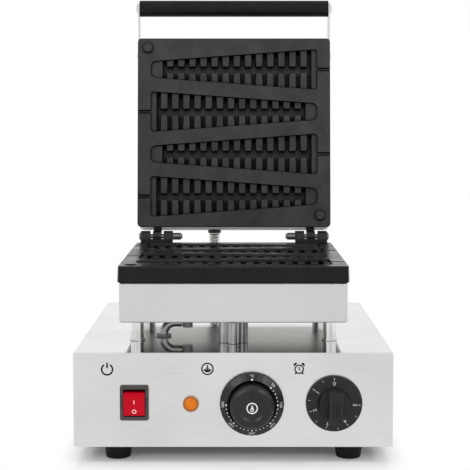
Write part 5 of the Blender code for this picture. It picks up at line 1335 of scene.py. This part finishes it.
@dataclass
class RockerMarks:
    """The signs I and O on the rocker's lower face, in millimetres.

    Args:
        x: Middle of the rocker.
        on_z: Height of the I above the floor.
        off_z: Height of the O.
    """

    x: float = -86.35
    on_z: float = 57.6
    off_z: float = 49.0

    def build(self) -> None:
        """Prints both signs on the rocker."""
        marks = [
            printed_strokes([stroke], surface_place("rocker", self.x, z), film=0.04 * MM)
            for z, stroke in (
                (self.on_z, Stroke([(0, -1.6), (0, 1.6)], width=0.8)),
                (self.off_z, ring((0, 0), radius=1.6, width=0.75, steps=32)),
            )
        ]
        dress(joined(marks, "rocker_marks"), PINK_INK, "rocker")


@dataclass
class PilotLamp:
    """Orange pilot lamp: a tinted rim with a brighter moulded lens in it, in millimetres.

    Args:
        x: Middle of the lamp.
        z: Its height above the floor.
        rim: Outside radius.
        lens: Radius of the lens.
    """

    x: float = -37.0
    z: float = 55.2
    rim: float = 7.05
    lens: float = 5.5

    def build(self) -> None:
        """Makes the rim and the lens."""
        place = panel_place(self.x, self.z)
        profile = (
            (5.0, -2.0), (5.0, 0.3), (self.rim, 0.3), (self.rim, 1.0), (self.rim - 0.5, 1.6),
            (self.lens + 0.1, 1.5), (self.lens, 0.9),
        )
        rim = turned("lamp_rim", profile, place, sides=64)
        dress(rim, LAMP_RIM_PLASTIC, "base")
        dome = ((0.1, 0.5), (0.1, 1.5), (0.6, 2.2), (1.6, 2.7), (3.4, 3.1))
        profile = [(self.lens - inset, height) for inset, height in dome]
        lens = turned("lamp_lens_dome", profile, place, sides=64)
        dress(lens, ORANGE_PLASTIC, "base", smooth=60.0)
        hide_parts("lamp_lens")


@dataclass
class Thermostat:
    """Heat control: a fixed scale ring, a knob with a dished face, and their print.

    Args:
        middle: Middle of the knob on the panel, in millimetres.
        rim: Largest radius of the knob's face.
        face: Height of its face over the panel.
        dish: Depth of the dish in the face.
        majors: Angles in degrees, clockwise from the top, and the number there.
        parts: Parts that dots cut the way from number to number into.
        dots_at: Distance of the dots from the middle.
        numbers_at: Distance of the numbers from the middle.
    """

    middle: Point = DIAL_AT
    rim: float = 18.6
    face: float = 19.5
    dish: float = 1.8
    majors: tuple[tuple[float, str], ...] = (
        (47, "50"), (90, "100"), (135, "150"), (180, "200"), (225, "250"), (270, "300"),
    )
    parts: int = 5
    dots_at: float = 22.4
    numbers_at: float = 25.2

    def build(self) -> None:
        """Makes the knob and prints the scale and the sign."""
        self.build_knob()
        self.print_scale()
        self.print_sign()

    def build_knob(self) -> None:
        """Makes the knob: straight side, chamfered rim, dish, boss and pointer line."""
        top, rim, place = self.face, self.rim, panel_place(*self.middle)
        profile = (
            (19.7, 1.9), (19.4, 6.0), (18.9, top - 3.6), (rim - 0.3, top - 2.2),
            (rim - 1.4, top - 0.9), (rim - 2.6, top - 0.2), (rim - 3.6, top), (12.4, top - 0.1),
            (11.4, top - 0.4), (10.6, top - 1.0), (9.9, top - 1.6), (9.0, top - self.dish),
            (0.5, top - self.dish),
        )
        knob = turned("thermostat_knob_moulding", profile, place)
        dress(knob, DIAL_PLASTIC, "thermostat_knob", smooth=50.0)
        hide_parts("thermostat_knob")
        pointer = block("thermostat_pointer", (1.1, 6.6, 1.4), (0, 12.9, top - 0.4))
        soften(pointer, width=0.25 * MM)
        settle(pointer, "thermostat_pointer", place)
        dress(pointer, KNOB_PLASTIC, "thermostat_knob")

    def on_ring(self, angle: float, radius: float) -> Matrix:
        """Finds a place on the scale ring, turned so that up is outwards."""
        return dial_place("thermostat_dial", self.middle, angle, radius)

    def print_scale(self) -> None:
        """Prints the dots, the numbers and the unit on the ring."""
        angles = [0.0] + [angle for angle, _ in self.majors]
        dots = [self.dot(angle, radius=0.85) for angle in angles]
        for start, end in zip(angles[1:], angles[2:]):
            for step in range(1, self.parts):
                dots.append(self.dot(start + (end - start) * step / self.parts, radius=0.55))
        numbers = [
            printed_text(words, size=2.6, place=self.on_ring(angle, self.numbers_at))
            for angle, words in self.majors
        ]
        numbers.append(printed_text("°C", size=2.3, place=self.on_ring(0, self.numbers_at)))
        dress(joined(dots, "thermostat_dots"), WHITE_INK, "base")
        dress(joined(numbers, "thermostat_numbers"), GREY_INK, "base")

    def dot(self, angle: float, radius: float) -> Piece:
        """Prints one dot of the scale, at an angle clockwise from the top."""
        place = self.on_ring(angle, self.dots_at) @ Matrix.Translation((0, 0, -FILM))
        return turned("ink", ((radius, 0.0), (radius, 2 * FILM / MM)), place, sides=14)

    def print_sign(self) -> None:
        """Prints the ring with a thermometer on the knob's boss."""
        strokes = [
            ring((0, 0), radius=4.4, width=1.0),
            Stroke([(-0.62, 2.5), (-0.62, -0.2)], width=0.5),
            Stroke([(0.62, 2.5), (0.62, -0.2)], width=0.5),
            ring((0, -1.3), radius=1.25, width=0.75, steps=24),
            Stroke([(0, -1.3), (0, 1.2)], width=0.42),
        ]
        sign = printed_strokes(strokes, panel_place(*self.middle, self.face - self.dish))
        sign.name = "thermostat_sign"
        dress(sign, WHITE_INK, "thermostat_knob")


@dataclass
class Timer:
    """Clockwork timer knob: a skirt that carries the scale, a hub and a grooved grip bar.

    Args:
        middle: Middle of the knob on the panel, in millimetres.
        numbers: Angles in degrees, clockwise from the top, and the number there.
        halves: Angles of the short lines between them.
        width: Width of the grip bar.
        length: Its length.
        low: Height over the panel where it starts.
        high: Height where it ends.
        waist: Width of its middle, as a share of its width at the ends.
        pinch: Share of its half length that the waist takes up.
        cuts: Cuts across it that let it be pinched, as shares of its length.
        grooves: Sides of the grooves along its face.
        depth: Depth of a groove.
    """

    middle: Point = TIMER_AT
    numbers: tuple[tuple[float, str], ...] = (
        (0, "0"), (305, "1"), (252, "2"), (198, "3"), (148, "4"), (93, "5"),
    )
    halves: tuple[float, ...] = (333, 278, 225, 171, 120)
    width: float = 13.2
    length: float = 27.6
    low: float = 4.2
    high: float = 22.5
    waist: float = 0.84
    pinch: float = 0.7
    cuts: tuple[float, ...] = (-0.34, -0.17, 0.0, 0.17, 0.34)
    grooves: tuple[Point, ...] = ((-3.9, -3.1), (-1.9, -1.1), (1.1, 1.9), (3.1, 3.9))
    depth: float = 0.5

    def build(self) -> None:
        """Makes the knob and prints its scale."""
        profile = (
            (24.6, 0.5), (24.7, 1.7), (24.4, 2.4), (23.5, 2.83), (14.6, 3.95), (14.1, 4.7),
            (13.7, 8.7), (12.9, 9.5), (0.5, 9.5),
        )
        skirt = turned("timer_skirt", profile, panel_place(*self.middle))
        knob = joined([skirt, self.build_bar()], "timer_knob_moulding")
        dress(knob, SKIRT_PLASTIC, "timer_knob", smooth=40.0)
        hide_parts("timer_knob")
        self.print_scale()

    def build_bar(self) -> Piece:
        """Makes the grip bar: a block pinched at its middle, with grooves along its face.

        Returns:
            The bar, in its place.
        """
        size = (self.width, self.length, self.high - self.low)
        bar = block("timer_bar", size, (0, 0, (self.high + self.low) / 2))
        activate(bar)
        bpy.ops.object.mode_set(mode="EDIT")
        for share in self.cuts:
            bpy.ops.mesh.select_all(action="SELECT")
            bpy.ops.mesh.bisect(plane_co=(0, share * self.length * MM, 0), plane_no=(0, 1, 0))
        shape = bmesh.from_edit_mesh(bar.data)
        for vertex in shape.verts:
            share = abs(vertex.co.y) / (self.length * MM / 2)
            widening = min(share / self.pinch, 1.0) ** 2
            vertex.co.x *= self.waist + (1 - self.waist) * widening
        bmesh.update_edit_mesh(bar.data)
        for groove in self.grooves:
            for x in groove:
                bpy.ops.mesh.select_all(action="SELECT")
                bpy.ops.mesh.bisect(plane_co=(x * MM, 0, 0), plane_no=(1, 0, 0))
        bpy.ops.mesh.select_all(action="DESELECT")
        select_faces(self.in_groove)
        bpy.ops.mesh.extrude_region_move(
            TRANSFORM_OT_translate={"value": (0, 0, -self.depth * MM)}
        )
        bpy.ops.object.mode_set(mode="OBJECT")
        soften(bar, width=0.7 * MM, angle=60.0)
        return settle(bar, "timer_bar", panel_place(*self.middle))

    def in_groove(self, face: Face) -> bool:
        """Tells whether a face of the bar lies on its front within a groove."""
        x = face.calc_center_median().x
        return face.normal.z > ALONG and any(low * MM < x < high * MM for low, high in self.grooves)

    def print_scale(self) -> None:
        """Prints the numbers and the lines."""
        marks = []
        for angle, words in self.numbers:
            marks.append(self.scale_line(angle, radius=21.6, half=1.2, width=0.5))
            place = dial_place("timer_knob", self.middle, angle, radius=17.7)
            marks.append(printed_text(words, size=3.3, place=place))
        for angle in self.halves:
            marks.append(self.scale_line(angle, radius=22.0, half=0.8, width=0.42))
        dress(joined(marks, "timer_scale"), GREY_INK, "timer_knob")

    def scale_line(self, angle: float, radius: float, half: float, width: float) -> Piece:
        """Prints one line of the scale, at an angle clockwise from the top."""
        place = dial_place("timer_knob", self.middle, angle, radius)
        return printed_strokes([Stroke([(0, -half), (0, half)], width)], place)


@dataclass
class Handle:
    """The grip between the lid's two arms, with shallow grooves along it.

    Args:
        grooves: How many grooves run along it.
        facets: Facets of its side for each groove.
        depth: Depth of a groove.
        slope: Width of a groove's wall.
        land: Width of the flat ring at each end.
    """

    grooves: int = 24
    facets: int = 4
    depth: float = 0.3 * MM
    slope: float = 0.12 * MM
    land: float = 1.2 * MM

    def build(self) -> None:
        """Makes the grip in the place of its CAD node."""
        low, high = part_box("handle_grip")
        deselect()
        bpy.ops.mesh.primitive_cylinder_add(
            vertices=self.facets * self.grooves, radius=(high.z - low.z) / 2, depth=high.x - low.x
        )
        grip = bpy.context.object
        bpy.ops.object.mode_set(mode="EDIT")
        bpy.ops.mesh.select_all(action="DESELECT")
        select_faces(self.in_groove)
        bpy.ops.mesh.inset(
            thickness=self.slope, depth=-self.depth, use_individual=True, use_even_offset=True
        )
        bpy.ops.mesh.select_all(action="DESELECT")
        select_faces(lambda face: abs(face.normal.z) > ALONG)
        bpy.ops.mesh.inset(thickness=self.land, depth=0.0, use_individual=True)
        bpy.ops.object.mode_set(mode="OBJECT")
        soften(grip, width=0.8 * MM, angle=70.0)
        place = Matrix.Translation((low + high) / 2) @ Matrix.Rotation(math.pi / 2, 4, "Y")
        settle(grip, "handle_grip_moulding", place)
        dress(grip, GRIP_PLASTIC, "lid", smooth=50.0)
        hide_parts("handle_grip")

    def in_groove(self, face: Face) -> bool:
        """Tells whether a side face lies in a groove.

        Args:
            face: The face.

        Returns:
            True for one facet of the side in each groove's share.
        """
        middle = face.calc_center_median()
        turn = math.atan2(middle.y, middle.x) % (2 * math.pi)
        step = 2 * math.pi / (self.facets * self.grooves)
        return abs(face.normal.z) < ALONG and int(turn / step) % self.facets == 0


@dataclass
class Conduit:
    """Braided conduit that comes up out of the body and bends into its gland, in millimetres.

    Args:
        x: Place of the upright part.
        y: Its depth.
        radius: Radius of the braid.
        low: Height of its lower end above the floor.
        straight: Length of the piece under the top sheet.
        height: Height of the level part above the floor.
        bend: Radius of the bend.
        end_x: Where it enters the gland.
        steps: Pieces that the bend is cut into.
    """

    x: float = -65.5
    y: float = -69.235
    radius: float = 4.0
    low: float = 98.8
    straight: float = 1.8
    height: float = 113.0
    bend: float = 11.0
    end_x: float = -48.05
    steps: int = 16

    def build(self) -> None:
        """Makes the braid in the place of its CAD tube."""
        points = [(self.x, self.y, self.low), (self.x, self.y, self.low + self.straight)]
        for step in range(self.steps + 1):
            turn = math.pi / 2 * step / self.steps
            across = self.x + self.bend * (1 - math.cos(turn))
            points.append((across, self.y, self.height + self.bend * (math.sin(turn) - 1)))
        points.append((self.end_x, self.y, self.height))
        route = [Vector(point) * MM for point in points]
        tube = tube_along("conduit_braid", route, [self.radius * MM] * len(route))
        dress(tube, BRAID, "base", smooth=60.0)
        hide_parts("heater_conduit")


@dataclass
class LidHose:
    """Corrugated steel hose between the body and the lid, laid out with the lid open.

    Args:
        x: Where it stands, to the right of the middle, in millimetres.
        foot: Depth and height where it leaves the body's gland.
        head: Depth and height where it enters the lid's gland, with the lid open.
        lean: How far the open lid's gland leans to the rear, in degrees.
        straight: Length of the straight piece at each gland.
        bulge: How far it bows to the rear.
        parts: Pieces between the knots of its route.
        crest: Radius on a rib.
        valley: Radius between ribs.
        pitch: Distance from rib to rib.
        steps: Rings of the mesh on each rib.
    """

    x: float = -21.5
    foot: Point = (117.27, 112.3)
    head: Point = (124.26, 177.66)
    lean: float = 5.5
    straight: float = 10.0
    bulge: float = 10.0
    parts: int = 12
    crest: float = 6.2 * MM
    valley: float = 5.2 * MM
    pitch: float = 3.0 * MM
    steps: int = 8

    def build(self) -> None:
        """Makes the hose in the place of its CAD tube."""
        knots = evenly_spaced(self.curve(), self.parts)
        length = sum((after - before).length for before, after in zip(knots, knots[1:]))
        points = along_route(knots, self.steps * round(length / self.pitch))
        middle, swing = (self.crest + self.valley) / 2, (self.crest - self.valley) / 2
        turns = [2 * math.pi * index / self.steps for index in range(len(points))]
        radii = [middle - swing * math.cos(turn) for turn in turns]
        hose = tube_along("lid_hose_ribbed", points, radii)
        activate(hose)
        bpy.ops.object.shade_smooth_by_angle(angle=math.radians(70))
        deselect()
        hose.data.materials.append(POLISHED.material())
        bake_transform(hose)
        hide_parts("lid_hose")
        LOG.info("%s: %d faces, bends from base to lid", hose.name, len(hose.data.polygons))

    def curve(self, steps: int = 160) -> list[Vector]:
        """Works out its line with the lid open: straight out of both glands, and bowed between.

        Args:
            steps: Pieces that the bowed part is cut into.

        Returns:
            Points in metres, from the body to the lid.
        """
        foot, head = (Vector((self.x, *end)) for end in (self.foot, self.head))
        lean = math.radians(self.lean)
        up, on = Vector((0, 0, 1)), Vector((0, math.sin(lean), math.cos(lean)))
        start, end = foot + up * self.straight, head - on * self.straight
        span = (end - start).length
        points = [foot]
        for step in range(steps + 1):
            t = step / steps
            point = start * (2 * t**3 - 3 * t**2 + 1) + up * span * (t**3 - 2 * t**2 + t)
            point += end * (3 * t**2 - 2 * t**3) + on * span * (t**3 - t**2)
            point.y += self.bulge * math.sin(math.pi * t) ** 2
            points.append(point)
        return [point * MM for point in (*points, head)]


@dataclass(frozen=True)
class Lamp:
    """One soft lamp.

    Args:
        place: Where it hangs.
        target: What it is turned to.
        width: Width of its square face.
        power: Its power in watts.
        lights: The group of pieces that it lights, or nothing for all of them.
    """

    place: Place
    target: Place
    width: float
    power: float
    lights: str = ""


@dataclass
class Studio:
    """Pale floor, white surroundings, soft lamps and the camera.

    Args:
        shadow_side: Distance from the middle plane where the shadow starts to fade, and ends.
        shadow_front: Distance in front of the middle where it starts to fade, and ends.
        shadow_behind: Distance behind the middle where it starts to fade, and ends.
        camera_place: Place of the camera.
        pitch: How far it looks down, in degrees.
        lens: Its focal length in millimetres.
        shift: Its shift across and up, as shares of the frame.
        surround: Strength of the surroundings as light.
        lamps: The soft lamps.
    """

    shadow_side: Point = (133 * MM, 158 * MM)
    shadow_front: Point = (107 * MM, 214 * MM)
    shadow_behind: Point = (300 * MM, 600 * MM)
    camera_place: Place = (3.261 * MM, -1147.93 * MM, 302.68 * MM)
    pitch: float = 3.5
    lens: float = 88.738
    shift: Point = (-0.0042, -0.0941)
    surround: float = 0.62
    lamps: tuple[Lamp, ...] = (
        Lamp((-0.9, -1.0, 1.1), (0.0, 0.0, 0.15), width=0.4, power=7.0, lights=NOT_METAL),
        Lamp((0.9, -1.0, 1.1), (0.0, 0.0, 0.15), width=0.4, power=7.0, lights=NOT_METAL),
        Lamp((0.0, -1.25, 1.15), (0.0, 0.1, 0.38), width=0.5, power=11.0, lights=PLATES),
        Lamp((0.0, 0.3, 1.6), (0.0, 0.0, 0.1), width=1.0, power=9.0),
    )

    def build(self) -> None:
        """Makes the floor, the surroundings, the lamps and the camera."""
        self.build_surround()
        self.build_floor()
        for index, lamp in enumerate(self.lamps):
            deselect()
            bpy.ops.object.light_add(type="AREA", location=lamp.place)
            light = bpy.context.object
            light.name = f"soft_lamp_{index + 1}"
            light.data.energy = lamp.power
            light.data.size = lamp.width
            way = Vector(lamp.target) - Vector(lamp.place)
            light.rotation_euler = way.to_track_quat("-Z", "Y").to_euler()
            light.visible_glossy = bool(lamp.lights)
            light.visible_camera = False
        self.build_camera()

    def flag(self) -> None:
        """Keeps each lamp off the pieces that it isn't for, as flags in a studio do."""
        plates = (LOWER_COATED_PAINTED_DARKER.title, LID_COATED.title)
        metals = [
            finish.title for finish in (
                STAINLESS, HOUSING_STAINLESS, BODY_STAINLESS, UPRIGHT_STAINLESS, POLISHED,
                DUCT_STEEL_PAINTED_STREAKS, CROSS_POLISHED, ZINC_DARK, ZINC_TUBE, BRAID,
            )
        ]
        groups = {
            NOT_METAL: lambda title: title not in metals,
            PLATES: lambda title: title in plates,
        }
        for name, belongs in groups.items():
            group = bpy.data.collections.new(name)
            for piece in bpy.data.objects:
                if piece.type == "MESH" and piece.data.materials:
                    if belongs(piece.data.materials[0].name):
                        group.objects.link(piece)
            for index, lamp in enumerate(self.lamps):
                if lamp.lights == name:
                    light = bpy.data.objects[f"soft_lamp_{index + 1}"]
                    light.light_linking.receiver_collection = group

    def seen_directly(self, nodes: Nodes) -> Socket:
        """Gives 1 for camera, glossy and transmission rays, and 0 for light.

        Args:
            nodes: The nodes that it joins.

        Returns:
            The mask.
        """
        path = nodes.add("LightPath").outputs
        either = nodes.math("MAXIMUM", path["Is Camera Ray"], path["Is Glossy Ray"])
        return nodes.math("MAXIMUM", either, path["Is Transmission Ray"])

    def build_surround(self) -> None:
        """Makes the world: white where it is seen, softer as light."""
        world = bpy.data.worlds.new("studio")
        bpy.context.scene.world = world
        world.use_nodes = True
        world.node_tree.nodes.clear()
        nodes = Nodes(world.node_tree)
        light, seen = (
            nodes.out("Background", {"Color": (1, 1, 1, 1), "Strength": strength})
            for strength in (self.surround, 1.0)
        )
        mixed = nodes.out("MixShader", {0: self.seen_directly(nodes), 1: light, 2: seen})
        nodes.add("OutputWorld", {"Surface": mixed})

    def build_floor(self) -> None:
        """Makes the floor, which keeps the shadow near the machine and is white further out."""
        deselect()
        bpy.ops.mesh.primitive_plane_add(size=12.0, location=(0, 2.0, -0.2 * MM))
        floor = settle(bpy.context.object, "studio_floor")
        paint = bpy.data.materials.new("matt white board")
        paint.use_nodes = True
        paint.node_tree.nodes.clear()
        nodes = Nodes(paint.node_tree)
        board = nodes.out("BsdfDiffuse", {"Color": (0.88, 0.88, 0.88, 1)})
        white = nodes.out("Emission", {"Color": (1, 1, 1, 1), "Strength": 1.0})
        shade = 1.0
        for axis, operation, way, fade in (
            ("X", "ABSOLUTE", 1.0, self.shadow_side),
            ("Y", "MULTIPLY", -1.0, self.shadow_front),
            ("Y", "MULTIPLY", 1.0, self.shadow_behind),
        ):
            away = nodes.math(operation, nodes.where(axis=axis), way)
            shade = nodes.math("MULTIPLY", shade, nodes.spread(away, *fade, 1.0, 0.0))
        bare = nodes.math("SUBTRACT", 1.0, shade)
        amount = nodes.math("MULTIPLY", bare, self.seen_directly(nodes))
        mixed = nodes.out("MixShader", {0: amount, 1: board, 2: white})
        nodes.add("OutputMaterial", {"Surface": mixed})
        floor.data.materials.append(paint)
        floor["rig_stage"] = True

    def build_camera(self) -> None:
        """Places the camera at the photograph's viewing angle."""
        deselect()
        bpy.ops.object.camera_add(location=self.camera_place)
        camera = bpy.context.object
        camera.name = "camera"
        camera.rotation_euler = (math.radians(90 - self.pitch), 0, 0)
        camera.data.sensor_fit = "HORIZONTAL"
        camera.data.sensor_width = 36.0
        camera.data.lens = self.lens
        camera.data.shift_x, camera.data.shift_y = self.shift
        camera.data.clip_start = 0.05
        camera.data.dof.use_dof = False
        bpy.context.scene.camera = camera


def main() -> None:
    """Builds the looks of the whole machine over its frame."""
    logging.basicConfig(level=logging.INFO, format="%(message)s")
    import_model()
    before = [corner.copy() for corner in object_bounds()]
    bpy.context.scene.view_settings.view_transform = "Standard"
    for start in ("Cube", "Light", "Camera"):
        if start in bpy.data.objects:
            bpy.data.objects.remove(bpy.data.objects[start])
    studio = Studio()
    studio.build()
    for assembly in (
        Carcass(), WafflePlate("lower_plate", "base", LOWER_COATED_PAINTED_DARKER),
        WafflePlate("lid_plate", "lid", LID_COATED), HingeCastings(), PanelMarks(),
        RockerMarks(), PilotLamp(), Thermostat(), Timer(), Handle(), Conduit(), LidHose(),
    ):
        assembly.build()
    studio.flag()
    deselect()


if __name__ == "__main__":
    main()
